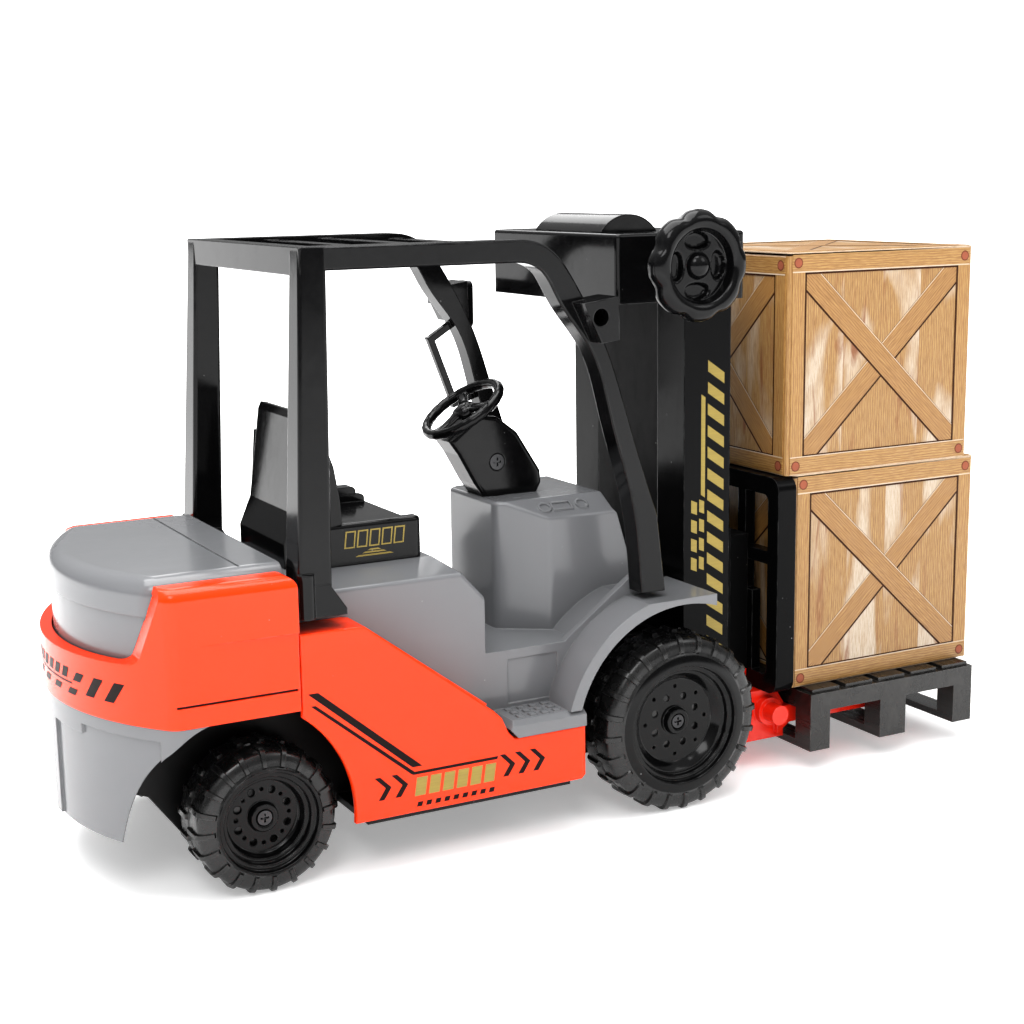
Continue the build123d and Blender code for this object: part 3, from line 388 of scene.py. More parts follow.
def ink(name, color, rough=0.4):
    """Printed or stamped ink, a little uneven, with pinholes."""
    s = Shader(name)
    patchy = s.ramp(
        s.noise(160.0, 5.0, 0.6), [(0.3, shade(color, 0.8)), (0.65, color), (0.85, shade(color, 1.15))]
    )
    gloss = s.remap(s.noise(300.0), 0.3, 0.7, rough - 0.06, rough + 0.08)
    s.principled({
        "Base Color": patchy, "Roughness": gloss, "Specular IOR Level": 0.12,
        "Normal": s.bump(s.noise(700.0, 3.0), 0.12, 0.00008),
    })
    return s.material


def foil(name, color):
    """Gold foil stamping, satin and faintly brushed."""
    s = Shader(name)
    brushed = s.noise(420.0, 4.0, 0.6, (0.2, 0.2, 4))
    tone = s.ramp(brushed, [(0.3, shade(color, 0.85)), (0.7, shade(color, 1.08))])
    s.principled({
        "Base Color": tone, "Metallic": 0.25, "Roughness": s.remap(brushed, 0.3, 0.7, 0.34, 0.5),
        "Normal": s.bump(brushed, 0.1, 0.00006),
    })
    return s.material


def kraft():
    """Bare card at the cut edges and folds of the boxes."""
    s = Shader("card_edge")
    fibres = s.noise(420.0, 6.0, 0.7, (1, 1, 3))
    tone = s.ramp(fibres, [(0.3, (0.42, 0.30, 0.2)), (0.7, (0.66, 0.52, 0.38))])
    s.principled({"Base Color": tone, "Roughness": 0.8, "Normal": s.bump(fibres, 0.3, 0.0002)})
    return s.material


def pallet_plastic():
    """Dark satin plastic, moulded with a wood grain that runs across the truck."""
    s = Shader("pallet_plastic")
    grain = s.noise(70.0, 7.0, 0.65, (2.2, 0.12, 1.6), distortion=0.5)
    tone = s.ramp(
        grain, [(0.3, (0.010, 0.0095, 0.009)), (0.55, (0.02, 0.019, 0.018)), (0.78, (0.042, 0.04, 0.038))]
    )
    edge = s.worn_edges(0.0006, 0.35)
    color = s.mix(edge, tone, (0.3, 0.29, 0.28))
    gloss = s.remap(grain, 0.3, 0.7, 0.2, 0.36)
    s.principled({"Base Color": color, "Roughness": gloss, "Normal": s.bump(grain, 0.35, 0.0005)})
    return s.material


ORANGE_COLOR = (0.9, 0.046, 0.003)
GREY_COLOR = (0.165, 0.168, 0.175)
RED_COLOR = (0.80, 0.022, 0.006)
GLOSS_COLOR = (0.004, 0.004, 0.0043)
SATIN_COLOR = (0.003, 0.003, 0.0032)

ORANGE = moulded(
    "orange_plastic", ORANGE_COLOR, 0.17, grain=0.03, scratch=0.05, wear=0.15, specks=0.15, shine=0.34
)
GREY = moulded("grey_plastic", GREY_COLOR, 0.17, grain=0.03, scratch=0.07, wear=0.2, specks=0.2)
BLACK = moulded("black_gloss", GLOSS_COLOR, 0.12, grain=0.04, wear=0.15, specks=0.4, shine=0.26)
BLACK_SATIN = moulded(
    "black_satin", SATIN_COLOR, 0.2, grain=0.05, scratch=0.1, wear=0.15, specks=0.4, shine=0.1
)
MAST_BLACK = moulded(
    "mast_black", SATIN_COLOR, 0.5, grain=0.1, scratch=0.1, wear=0.1, specks=0.3, shine=0.12
)
CHASSIS = moulded(
    "chassis_plastic", SATIN_COLOR, 0.4, grain=0.12, scratch=0.1, wear=0.2, specks=0.2, shine=0.3
)
RED = moulded("red_plastic", RED_COLOR, 0.22, grain=0.04, scratch=0.05, wear=0.15, specks=0.15)
RIM = moulded(
    "rim_plastic", SATIN_COLOR, 0.14, grain=0.04, scratch=0.06, wear=0.2, specks=0.4, shine=0.26
)
TYRE = tyre_plastic()
STEEL = metal("axle_steel", (0.56, 0.56, 0.57), 0.28, (1, 0.1, 1))
SCREW = metal("screw_steel", (0.06, 0.06, 0.062), 0.22, (1, 1, 1))
FELT = felt()
PALLET = pallet_plastic()
BOARD = printed_wood("printed_board", (0.20, 0.088, 0.024), (0.37, 0.205, 0.066), (0.50, 0.32, 0.125))
BRACE = printed_wood("printed_brace", (0.18, 0.076, 0.02), (0.34, 0.18, 0.056), (0.47, 0.285, 0.105))
PANEL = printed_wood("printed_panel", (0.17, 0.072, 0.02), (0.36, 0.205, 0.07), (0.48, 0.32, 0.14), 0.85, 0.9)
LINE_DARK = ink("print_shadow", (0.05, 0.018, 0.008))
LINE_LIGHT = ink("print_highlight", (0.62, 0.50, 0.38))
RIVET = ink("print_rivet", (0.33, 0.105, 0.06))
RIVET_RING = ink("print_rivet_ring", (0.17, 0.055, 0.03))
CARD = kraft()
DECAL_DARK = ink("decal_dark", (0.012, 0.006, 0.005), 0.36)
DECAL_GOLD = foil("decal_gold", (0.31, 0.23, 0.05))

SLOT_MATERIAL = {
    "orange_shell": ORANGE, "grey_body": GREY, "black_frame": BLACK, "black_seat": BLACK,
    "black_chassis": CHASSIS, "wheel": TYRE, "axle_steel": STEEL, "screw_steel": SCREW,
    "black_mast": BLACK_SATIN, "winch": BLACK, "felt": FELT, "red_forks": RED, "pallet": PALLET,
    "crate_card": CARD,
}
NODE_MATERIAL = {"mast_back": MAST_BLACK, "mast_foot": MAST_BLACK, "carriage": MAST_BLACK}
SLOT_OF = {part["node"]: part["material_slot"] for part in frame["record"]["subparts"]}

FLAT_ANGLE = math.radians(0.6)          # faces closer than this are merged before the rounding
ROUNDED_ANGLE = math.radians(28)        # edges sharper than this are rounded
# width in millimetres of the rounding on the edges of each CAD node that stays in view
ROUNDING = {
    "tail_shell": 0.9, "counterweight": 0.7, "side_panel_right": 0.5, "side_panel_left": 0.5,
    "hood_lid": 0.5, "engine_box": 0.6, "cab_body": 0.5, "seat": 1.4, "steering_column": 1.3,
    "overhead_guard": 0.9, "side_mirror": 0.5, "mast_rail_right": 0.6, "mast_rail_left": 0.6,
    "mast_back": 0.4, "mast_foot": 0.4, "winch_housing": 0.5, "drum_cover": 0.6, "carriage": 0.6,
    "load_backrest": 1.3, "fork_frame": 0.9, "pallet": 0.45, "chassis": 0.5, "column_screw": 0.15,
    "wheel_screws": 0.15, "chassis_screws": 0.15, "winch_drum": 0.3, "guide_pulley": 0.3,
}


def dress_nodes():
    """Every CAD node gets its material, and rounded edges where they show."""
    for name, obj in frame["nodes"].items():
        obj.data.materials.clear()
        obj.data.materials.append(NODE_MATERIAL.get(name, SLOT_MATERIAL[SLOT_OF[name]]))
        if name not in ROUNDING:
            continue
        flat = obj.modifiers.new("flats", "DECIMATE")
        flat.decimate_type = "DISSOLVE"
        flat.angle_limit = FLAT_ANGLE
        soft = obj.modifiers.new("rounding", "BEVEL")
        soft.width = ROUNDING[name] * MM
        soft.segments = 3
        soft.limit_method = "ANGLE"
        soft.angle_limit = ROUNDED_ANGLE
        soft.use_clamp_overlap = True
        soft.harden_normals = False
        soft.miter_outer = "MITER_ARC"
        weighted = obj.modifiers.new("shading", "WEIGHTED_NORMAL")
        weighted.keep_sharp = True


# ------------------------------------------------------------------ mesh helpers
def add_piece(name, body, mesh, materials, replaced=()):
    """Puts a mesh in the scene, riding on a body and standing for CAD nodes."""
    obj = bpy.data.objects.new(name, mesh)
    bpy.context.scene.collection.objects.link(obj)
    for material in materials:
        mesh.materials.append(material)
    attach(obj, body)
    if replaced:
        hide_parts(*replaced)
    return obj


def grid_mesh(name, rings, sharp=40.0, close_start=True, close_end=True, material_of=None):
    """Closed rings of points joined in order, with the first and last ring capped."""
    bm = bmesh.new()
    loops = [[bm.verts.new(p) for p in ring] for ring in rings]
    count = len(loops[0])
    for i in range(len(loops) - 1):
        for j in range(count):
            k = (j + 1) % count
            face = bm.faces.new((loops[i][j], loops[i][k], loops[i + 1][k], loops[i + 1][j]))
            face.material_index = material_of[i] if material_of else 0
    if close_start:
        bm.faces.new(list(reversed(loops[0]))).material_index = material_of[0] if material_of else 0
    if close_end:
        bm.faces.new(loops[-1]).material_index = material_of[-1] if material_of else 0
    return finished(name, bm, sharp)


def finished(name, bm, sharp=40.0):
    """A mesh from a bmesh: outward normals, smooth faces, and edges sharper than a limit kept crisp."""
    bmesh.ops.recalc_face_normals(bm, faces=bm.faces)
    mesh = bpy.data.meshes.new(name)
    bm.to_mesh(mesh)
    bm.free()
    for polygon in mesh.polygons:
        polygon.use_smooth = True
    mesh.set_sharp_from_angle(angle=math.radians(sharp))
    return mesh


def smooth_step(x, low, high):
    """0 below low, 1 above high, with a smooth rise between."""
    t = max(0.0, min(1.0, (x - low) / (high - low)))
    return t * t * (3 - 2 * t)


# ------------------------------------------------------------------ wheels
WHEEL_FORM = {
    # ribs, lip radius, disc radius, large holes (radius at, size), small holes (radius at, size)
    "front": (24, 21.8, 15.7, (9.4, 1.45), (12.9, 0.8)),
    "rear": (20, 16.9, 12.3, (9.2, 1.4), (9.2, 0.75)),
}
HOLE_PAIRS = 8
HUB_R = 5.0
DISC_THICK = 1.0
DISC_AT = {"outer": 4.2, "inner": 7.2}      # from the seam out to the face of the disc
RIB_SHIFT = {"outer": 0.0, "inner": 0.5}    # ribs of the two halves alternate, in shares of a pitch
RIB_STEPS = (0.0, 0.045, 0.15, 0.25, 0.295, 0.47, 0.65, 0.83)   # share of a pitch at each segment
RIB_HIGH = (0, 1, 1, 1, 0, 0, 0, 0)


def tread_profile(radius, half):
    """From the seam to the side wall: (axial, radial, axial rise of a rib, radial rise of a rib)."""
    return [
        (0.0, radius - 6.0, 0, 0), (0.0, radius - 2.4, 0, 0), (0.35, radius - 1.4, 0, 0),
        (0.8, radius - 1.1, 0, 0), (1.0, radius - 1.05, 0, 0.9), (1.5, radius - 1.0, 0, 1.0),
        (half - 4.2, radius - 1.0, 0, 1.0), (half - 3.1, radius - 1.2, 0.1, 1.0),
        (half - 2.3, radius - 1.8, 0.35, 0.9), (half - 1.7, radius - 2.9, 0.6, 0.6),
        (half - 1.35, radius - 4.4, 0.75, 0.2), (half - 1.15, radius - 5.9, 0.65, 0),
        (half - 1.0, radius - 6.5, 0, 0), (half - 0.75, radius - 6.8, 0, 0),
        (half - 0.55, radius - 7.3, 0, 0),
    ]


def rim_profile(lip, disc_r, half, disc, outer):
    """From the side wall in to the hub: (axial, radial)."""
    if not outer:
        return [
            (half - 0.5, lip + 1.0), (half - 0.9, lip + 0.2), (half - 3.0, lip - 0.6),
            (disc + 1.4, disc_r + 0.8), (disc + 0.3, disc_r - 0.6), (disc, disc_r - 1.6),
            (disc, 7.6), (disc + 0.4, 7.2), (disc + 3.0, 7.0), (disc + 3.4, 6.6), (disc + 3.4, 2.1),
        ]
    return [
        # rounded lip
        (half - 0.15, lip + 1.3), (half - 0.05, lip + 0.7), (half - 0.3, lip + 0.15), (half - 0.9, lip - 0.1),
        # two steps down to the disc
        (half - 1.9, lip - 0.3), (half - 2.1, lip - 0.7), (half - 2.15, lip - 1.6), (half - 2.4, lip - 1.9),
        (half - 3.9, lip - 2.2), (half - 4.1, lip - 2.6), (half - 4.15, lip - 3.3), (half - 4.4, lip - 3.6),
        (disc + 1.2, disc_r + 0.9), (disc + 0.5, disc_r + 0.45), (disc + 0.15, disc_r),
        # behind the pierced disc
        (disc - 2.0, disc_r - 0.1), (disc - 2.0, 5.2),
        # hub boss and the recess round the screw's head
        (disc + 0.6, 5.0), (disc + 1.9, 4.8), (disc + 2.3, 4.45), (disc + 2.35, 3.4),
        (disc + 2.15, 3.0), (disc + 0.45, 2.95), (disc + 0.45, 2.1),
    ]


def disc_with_holes(outer, inner, holes, thick):
    """A flat ring pierced by round holes, in its own XY plane, with softened edges, as a mesh."""
    soft = 0.12
    curve = bpy.data.curves.new("pierced", "CURVE")
    curve.dimensions = "2D"
    curve.fill_mode = "BOTH"
    curve.extrude = thick / 2 - soft
    curve.bevel_depth = soft
    curve.bevel_resolution = 1
    for x, y, radius in [(0, 0, outer - soft), (0, 0, inner + soft), *holes]:
        steps = 96 if radius > inner else 20
        spline = curve.splines.new("POLY")
        spline.points.add(steps - 1)
        spline.use_cyclic_u = True
        for i, point in enumerate(spline.points):
            turn = 2 * math.pi * i / steps
            point.co = (x + radius * math.cos(turn), y + radius * math.sin(turn), 0, 1)
    holder = bpy.data.objects.new("pierced", curve)
    mesh = bpy.data.meshes.new_from_object(holder)
    bpy.data.objects.remove(holder)
    return mesh


def wheel_half(axle, hand, side):
    """One half of a wheel, with its tread ribs, stepped rim and pierced disc."""
    node = f"{axle}_wheel_{hand}_{side}"
    low, high = extent(node)
    radius, half = (high.z - low.z) / 2, high.y - low.y
    centre = (low + high) / 2
    outward = 1 if hand == "left" else -1
    if side == "inner":
        outward = -outward
    seam = low.y if outward > 0 else high.y
    ribs, lip, disc_r, large, small = WHEEL_FORM[axle]
    outer = side == "outer"
    disc = DISC_AT[side]
    tread = tread_profile(radius, half)
    profile = tread + [(a, r, 0, 0) for a, r in rim_profile(lip, disc_r, half, disc, outer)]
    rings = []
    for axial, radial, rib_a, rib_r in profile:
        ring = []
        for i in range(ribs):
            for share, high_here in zip(RIB_STEPS, RIB_HIGH):
                turn = 2 * math.pi * (i + share + RIB_SHIFT[side]) / ribs
                r = radial + rib_r * high_here
                y = seam + outward * (axial + rib_a * high_here)
                ring.append(at(centre.x + r * math.cos(turn), y, centre.z + r * math.sin(turn)))
        rings.append(ring)
    rubber = len(tread) - 1
    kinds = [0 if i < rubber else 1 for i in range(len(profile) - 1)]
    bm = bmesh.new()
    bm.from_mesh(grid_mesh(node, rings, material_of=kinds, close_start=False, close_end=False))
    bmesh.ops.bridge_loops(bm, edges=[e for e in bm.edges if e.is_boundary])
    if outer:
        holes = []
        for i in range(HOLE_PAIRS):
            for (where, size), offset in ((large, 0.5), (small, 0.0)):
                turn = 2 * math.pi / HOLE_PAIRS * (i + offset)
                holes.append((where * math.cos(turn), where * math.sin(turn), size))
        plate = disc_with_holes(disc_r + 0.05, HUB_R, holes, DISC_THICK)
        start = len(bm.verts)
        bm.from_mesh(plate)
        bm.verts.ensure_lookup_table()
        bm.faces.ensure_lookup_table()
        new_verts = bm.verts[start:]
        for v in new_verts:
            out = disc - DISC_THICK / 2 + v.co.z
            v.co = at(centre.x + v.co.x, seam + outward * out, centre.z + v.co.y)
        marked = set(new_verts)
        for face in bm.faces:
            if face.verts[0] in marked:
                face.material_index = 1
        bpy.data.meshes.remove(plate)
    mesh = finished(f"{node}_mesh", bm, 35.0)
    add_piece(f"{node}_moulding", f"{axle}_wheel_{hand}", mesh, (TYRE, RIM), (node,))


# ------------------------------------------------------------------ handwheel and steering wheel
SCALLOPS, SCALLOP_DEEP, SCALLOP_SPREAD = 8, 1.3, 0.15
GRIP_DEPTH = 9.0
DISH, LIP_RISE, LIP_FROM, LIP_TO = 4.6, 3.6, 11.9, 12.9     # height of the dished face, and the lip round it
DOME_R, DOME_RISE = 4.65, 3.7
POCKETS, POCKET_AT, POCKET_HALF, POCKET_SPREAD, POCKET_DEEP = 4, 8.7, 2.95, 0.6, 2.3


def dish_height(r, turn):
    """Height of the handwheel's face above the back of its grip: dome, four pockets and lip."""
    if r < DOME_R:
        return DISH + DOME_RISE * math.sqrt(max(0.0, 1 - (r / DOME_R) ** 2))
    height = DISH + LIP_RISE * smooth_step(r, LIP_FROM, LIP_TO)
    pitch = 2 * math.pi / POCKETS
    near = (turn + pitch / 2) % pitch - pitch / 2
    reach = math.hypot((r - POCKET_AT) / POCKET_HALF, near / POCKET_SPREAD)
    return height - POCKET_DEEP * (1 - smooth_step(reach, 0.78, 1.0))


def handwheel():
    """Crank wheel of the winch: scalloped grip, dished face with pockets, domed hub and its sleeve."""
    low, high = extent("handwheel")
    centre = (low + high) / 2
    back = low.y + GRIP_DEPTH
    segments = 160
    turns = [2 * math.pi * j / segments for j in range(segments)]
    # radius of each ring of the face, from the middle out
    inside = [0.6, 1.3, 2.1, 2.9, 3.6, 4.15, 4.5, 4.7, *(5.1 + 0.5 * i for i in range(13)),
              11.5, 11.9, 12.2, 12.45, 12.6, 12.75]
    # radius of each ring of the grip and sleeve, height above the back of the grip, share of the scallops
    outside = [
        (13.0, 8.3, 0.0), (13.6, 8.75, 0.0), (14.6, 9.0, 0.1), (15.8, 9.0, 0.3), (16.9, 8.7, 0.55),
        (17.9, 8.0, 0.8), (18.6, 7.1, 0.95), (19.1, 5.9, 1.0), (19.3, 4.5, 1.0), (19.1, 3.0, 1.0),
        (18.5, 1.6, 1.0), (17.5, 0.6, 0.9), (16.0, 0.1, 0.6), (13.0, 0.0, 0.2),
        (6.0, 0.0, 0.0), (5.7, -0.4, 0.0), (5.6, -17.0, 0.0), (2.6, -17.0, 0.0),
    ]
    rings = [[(r, dish_height(r, turn), turn) for turn in turns] for r in inside]
    pitch = 2 * math.pi / SCALLOPS
    for r, height, share in outside:
        ring = []
        for turn in turns:
            near = turn % pitch - pitch / 2
            notch = SCALLOP_DEEP * share * math.exp(-(near / SCALLOP_SPREAD) ** 2)
            ring.append((r - notch, height, turn))
        rings.append(ring)
    placed = [
        [at(centre.x + r * math.cos(turn), back - height, centre.z + r * math.sin(turn))
         for r, height, turn in ring]
        for ring in rings
    ]
    mesh = grid_mesh("handwheel_mesh", placed, 60.0)
    add_piece("handwheel_crank", "winch", mesh, (BLACK,), ("handwheel",))


STEERING_AT, STEERING_LEAN = (101.5, 0.0, 146.0), math.radians(-33.0)
STEERING_R, STEERING_GRIP_R = 15.4, 1.85
FINGER_GRIPS, FINGER_DEEP = 24, 0.03


def bridged(bm, first, second):
    """Faces between two closed rings of points."""
    count = len(first)
    for j in range(count):
        k = (j + 1) % count
        bm.faces.new((first[j], first[k], second[k], second[j]))


def tube(bm, rings):
    """A tube through closed rings of points, capped at both ends."""
    for first, second in zip(rings, rings[1:]):
        bridged(bm, first, second)
    bm.faces.new(list(reversed(rings[0])))
    bm.faces.new(rings[-1])


def steering_wheel():
    """Steering wheel: round rim, three dished spokes, capped hub and its stub shaft."""
    lean = Matrix.Rotation(STEERING_LEAN, 4, "Y")

    def put(r, turn, z, aside=0.0):
        """A point by radius, turn and height along the shaft, moved aside square to the radius."""
        p = lean @ Vector((
            r * math.cos(turn) - aside * math.sin(turn), r * math.sin(turn) + aside * math.cos(turn), z
        ))
        return at(STEERING_AT[0] + p.x, STEERING_AT[1] + p.y, STEERING_AT[2] + p.z)

    bm = bmesh.new()
    around, across = 96, 16
    loops = []
    for i in range(around):
        turn = 2 * math.pi * i / around
        grip = STEERING_GRIP_R * (1 + FINGER_DEEP * math.cos(FINGER_GRIPS * turn))
        rolls = [2 * math.pi * j / across for j in range(across)]
        loops.append([
            bm.verts.new(put(STEERING_R + grip * math.cos(roll), turn, grip * math.sin(roll)))
            for roll in rolls
        ])
    for i in range(around):
        bridged(bm, loops[i], loops[(i + 1) % around])

    # radius, half width, half thickness and drop of each section of a spoke
    stations = [
        (3.0, 2.4, 1.1, 0.0), (6.0, 2.1, 1.0, -0.5), (9.5, 1.8, 0.95, -0.7), (12.5, 1.9, 0.95, -0.4),
        (14.4, 2.3, 1.1, 0.0),
    ]
    sides, roundness = 12, 0.6
    for spoke in range(3):
        turn = 2 * math.pi * spoke / 3 + math.pi / 3
        sections = []
        for r, wide, thick, drop in stations:
            section = []
            for j in range(sides):
                c, s = math.cos(2 * math.pi * j / sides), math.sin(2 * math.pi * j / sides)
                aside = wide * math.copysign(abs(c) ** roundness, c)
                z = drop - 0.3 + thick * math.copysign(abs(s) ** roundness, s)
                section.append(bm.verts.new(put(r, turn, z, aside)))
            sections.append(section)
        tube(bm, sections)

    # radius and height of each ring of the hub and shaft, from the cap down
    hub = [
        (0.9, 1.5), (2.0, 1.4), (2.7, 1.1), (2.9, 0.8), (3.9, 0.6), (4.4, 0.1), (4.5, -0.9), (4.2, -1.8),
        (2.2, -1.95), (2.2, -17.3),
    ]
    sides = 40
    tube(bm, [[bm.verts.new(put(r, 2 * math.pi * j / sides, z)) for j in range(sides)] for r, z in hub])
    mesh = finished("steering_wheel_mesh", bm, 45.0)
    add_piece("steering_wheel_rim", "steering", mesh, (BLACK,), ("steering_wheel",))


# ------------------------------------------------------------------ decals
def stamp(bm, outline, place, lift, thick=0.05, material=0):
    """A thin closed prism from a flat outline. place(u, v, height) gives a point."""
    low = [bm.verts.new(place(u, v, lift)) for u, v in outline]
    high = [bm.verts.new(place(u, v, lift + thick)) for u, v in outline]
    count = len(outline)
    faces = [bm.faces.new(high), bm.faces.new(list(reversed(low)))]
    for i in range(count):
        k = (i + 1) % count
        faces.append(bm.faces.new((low[i], low[k], high[k], high[i])))
    for face in faces:
        face.material_index = material


def on_side(wall, sign):
    """Places outlines in x and z on a wall of the truck, to the left for a sign of 1, right for -1."""
    return lambda u, v, height: at(u, sign * (wall + height), v)


def slanted(x, low, high, width, lean):
    """Outline of a block whose foot lies behind its head."""
    return [(x, high), (x + width, high), (x + width - lean, low), (x - lean, low)]


def chevron(x, z):
    """Outline of one chevron pointing forward, from its upper rear corner."""
    return [
        (x, z), (x + 2.0, z), (x + 6.0, z - 4.0), (x + 3.3, z - 8.0), (x + 1.2, z - 8.0), (x + 3.9, z - 4.0),
    ]


# outlines on the sides, in x and z
# the groove's dark strip: a dark band laid into the tail shell's groove, so that the groove reads dark
GROOVE_DARK_STRIP = [(-29.8, 68.85), (9.8, 68.85), (9.8, 69.55), (-29.8, 69.55)]
WIDE_STRIPE = [(13.1, 67.1), (16.6, 67.1), (52.9, 36.1), (49.3, 36.1)]
NARROW_STRIPE = [(14.0, 62.9), (15.6, 62.9), (50.0, 34.4), (49.4, 33.5), (48.8, 33.8)]
LEVEL_STRIPE = [(50.0, 34.4), (81.6, 34.4), (81.2, 33.4), (49.4, 33.4)]
CHEVRON_X, CHEVRON_TOP = (35.4, 41.5, 82.2, 88.1, 94.0), 34.6
GROOVE_FLOOR, GROOVE_FILL = -0.85, 0.3      # depth and thickness of the line in the tail shell's groove


def side_decals():
    """Stripes, chevrons and plain gold blocks on both side panels, and a dark strip laid in the groove
    behind, which makes the groove read dark.
    """
    wall = extent("side_panel_left")[1].y
    for hand, sign in (("right", -1), ("left", 1)):
        bm = bmesh.new()
        place = on_side(wall, sign)
        # dark strip set into the tail shell's groove, darkening the groove
        stamp(bm, GROOVE_DARK_STRIP, place, GROOVE_FLOOR, GROOVE_FILL)
        for outline in (WIDE_STRIPE, NARROW_STRIPE, LEVEL_STRIPE):
            stamp(bm, outline, place, 0.0)
        for x in CHEVRON_X:
            stamp(bm, chevron(x, CHEVRON_TOP), place, 0.0)
        for i in range(9):
            stamp(bm, slanted(51.0 + 3.4 * i, 22.0, 23.6, 1.9, 0.5), place, 0.0)
        for i in range(6):
            stamp(bm, slanted(50.8 + 5.2 * i, 25.8, 32.2, 4.0, 1.0), place, 0.0, material=1)
        mesh = finished(f"side_decal_{hand}_mesh", bm)
        add_piece(f"side_decal_{hand}", "truck", mesh, (DECAL_DARK, DECAL_GOLD))


TAIL_X, TAIL_R = 37.9, 92.5         # centre and radius of the tail band's curve
TAIL_LIFT = 0.05


def tail_decal():
    """Slanted bars round the tail band, each bent to the curve of the band."""
    bm = bmesh.new()

    def place(u, v, height):
        """u is an angle in degrees round the band, v a height."""
        turn = math.radians(u)
        reach = TAIL_R + TAIL_LIFT + height
        return at(TAIL_X - reach * math.cos(turn), -reach * math.sin(turn), v)

    def bar(start, width, lean, low, high):
        """A slanted bar over a range of angles, cut into narrow strips that follow the curve."""
        steps = 6
        for i in range(steps):
            a, b = start + width * i / steps, start + width * (i + 1) / steps
            stamp(bm, [(a, low), (b, low), (b + lean, high), (a + lean, high)], place, 0.0)

    # tall bars at both ends, a half bar, low dashes, a thin line and the blocks above it
    for start in (24.3, 18.2, -21.2, -27.3):
        bar(start, 2.8, 3.2, 68.2, 74.9)
    bar(13.6, 2.8, 1.5, 71.8, 74.8)
    for start in (11.0, 4.0, -3.0, -10.0):
        bar(start, 3.2, 1.1, 66.8, 69.0)
    bar(-13.0, 26.0, 0.0, 70.3, 70.8)
    for step in range(6):
        bar(-11.0 + 3.9 * step, 2.3, 1.0, 71.8, 75.4)
    mesh = finished("tail_decal_mesh", bm)
    add_piece("tail_decal", "truck", mesh, (DECAL_DARK,))


LADDER_TOP, LADDER_PITCH, LADDER_BLOCKS = 162.3, 8.03, 15
LADDER_LINE = [(180.1, 149.8), (181.9, 148.6), (181.9, 111.0), (180.1, 112.2)]
SHORT_TOP, SHORT_PITCH, SHORT_BARS = 110.5, 7.2, 4


def mast_decals():
    """Gold ladder of slanted blocks, a line and short bars on both mast rails."""
    for hand, sign in (("right", -1), ("left", 1)):
        low, high = extent(f"mast_rail_{hand}")
        wall = high.y if sign > 0 else -low.y
        bm = bmesh.new()
        place = on_side(wall, sign)
        for i in range(LADDER_BLOCKS):
            z = LADDER_TOP - LADDER_PITCH * i
            stamp(bm, [(183.0, z), (190.3, z - 5.0), (190.3, z - 9.1), (183.0, z - 4.2)], place, 0.0)
        stamp(bm, LADDER_LINE, place, 0.0)
        for i in range(SHORT_BARS):
            z = SHORT_TOP - SHORT_PITCH * i
            stamp(bm, [(179.4, z), (181.6, z - 0.9), (181.6, z - 5.6), (179.4, z - 4.7)], place, 0.0)
            stamp(bm, [(175.8, z), (178.4, z - 1.1), (178.4, z - 5.8), (175.8, z - 4.7)], place, 0.0)
        mesh = finished(f"mast_decal_{hand}_mesh", bm)
        add_piece(f"mast_decal_{hand}", "truck", mesh, (DECAL_GOLD,))


def framed(bm, outline, inner, place, lift):
    """A thin outline ring between two loops of points."""
    count = len(outline)
    for i in range(count):
        k = (i + 1) % count
        stamp(bm, [outline[i], outline[k], inner[k], inner[i]], place, lift)


SEAT_WALL, SEAT_LIFT = 28.0, 0.02       # half width of the seat's skirt, and the print's height on it
SPREAD_X = 52.5
SPREAD_LINES = ((2.6, 104.6), (4.6, 103.7), (7.2, 102.7))       # half width and top of each line


def seat_decals():
    """Gold outlined bars over three spread lines on both sides of the seat."""
    for hand, sign in (("right", -1), ("left", 1)):
        bm = bmesh.new()
        place = on_side(SEAT_WALL, sign)
        for i in range(5):
            x = 42.0 + 4.6 * i
            inner = [(x + 0.5, 110.9), (x + 3.3, 110.9), (x + 2.8, 105.9), (x - 0.1, 105.9)]
            framed(bm, slanted(x, 105.4, 111.4, 3.9, 0.7), inner, place, SEAT_LIFT)
        for half, z in SPREAD_LINES:
            line = [
                (SPREAD_X - half, z - 0.55), (SPREAD_X + half, z - 0.55),
                (SPREAD_X + half - 1.2, z), (SPREAD_X - half + 1.2, z),
            ]
            stamp(bm, line, place, SEAT_LIFT)
        mesh = finished(f"seat_decal_{hand}_mesh", bm)
        add_piece(f"seat_decal_{hand}", "truck", mesh, (DECAL_GOLD,))


# ------------------------------------------------------------------ printed crates
CORNER_R = 1.8          # radius of the folded upright edges
LAYER = 0.035           # height of one printed layer, so that none fights with the next
TOP_BOARD, BOTTOM_BOARD, POST = 6.9, 6.9, 7.6
BRACE_HALF = 4.2
PLANKS = 4
RIVET_IN = 2.6          # from the corner's fold to the middle of a rivet
LID = 0.5               # thickness of the tuck-in lid
GAPE = 0.9              # how far the lid stands open towards the back of the truck
FACE_SEEDS = (0, 31, 62, 93, 124)       # added to a crate's seed, so that no two faces share their grain

# place of each material in a crate's mesh
ON_BOARD, ON_PANEL, ON_BRACE, ON_DARK, ON_LIGHT, ON_RIVET, ON_RING, ON_CARD = range(8)
CRATE_MATERIALS = (BOARD, PANEL, BRACE, LINE_DARK, LINE_LIGHT, RIVET, RIVET_RING, CARD)
ALONG_U = (1.0, 0.0)


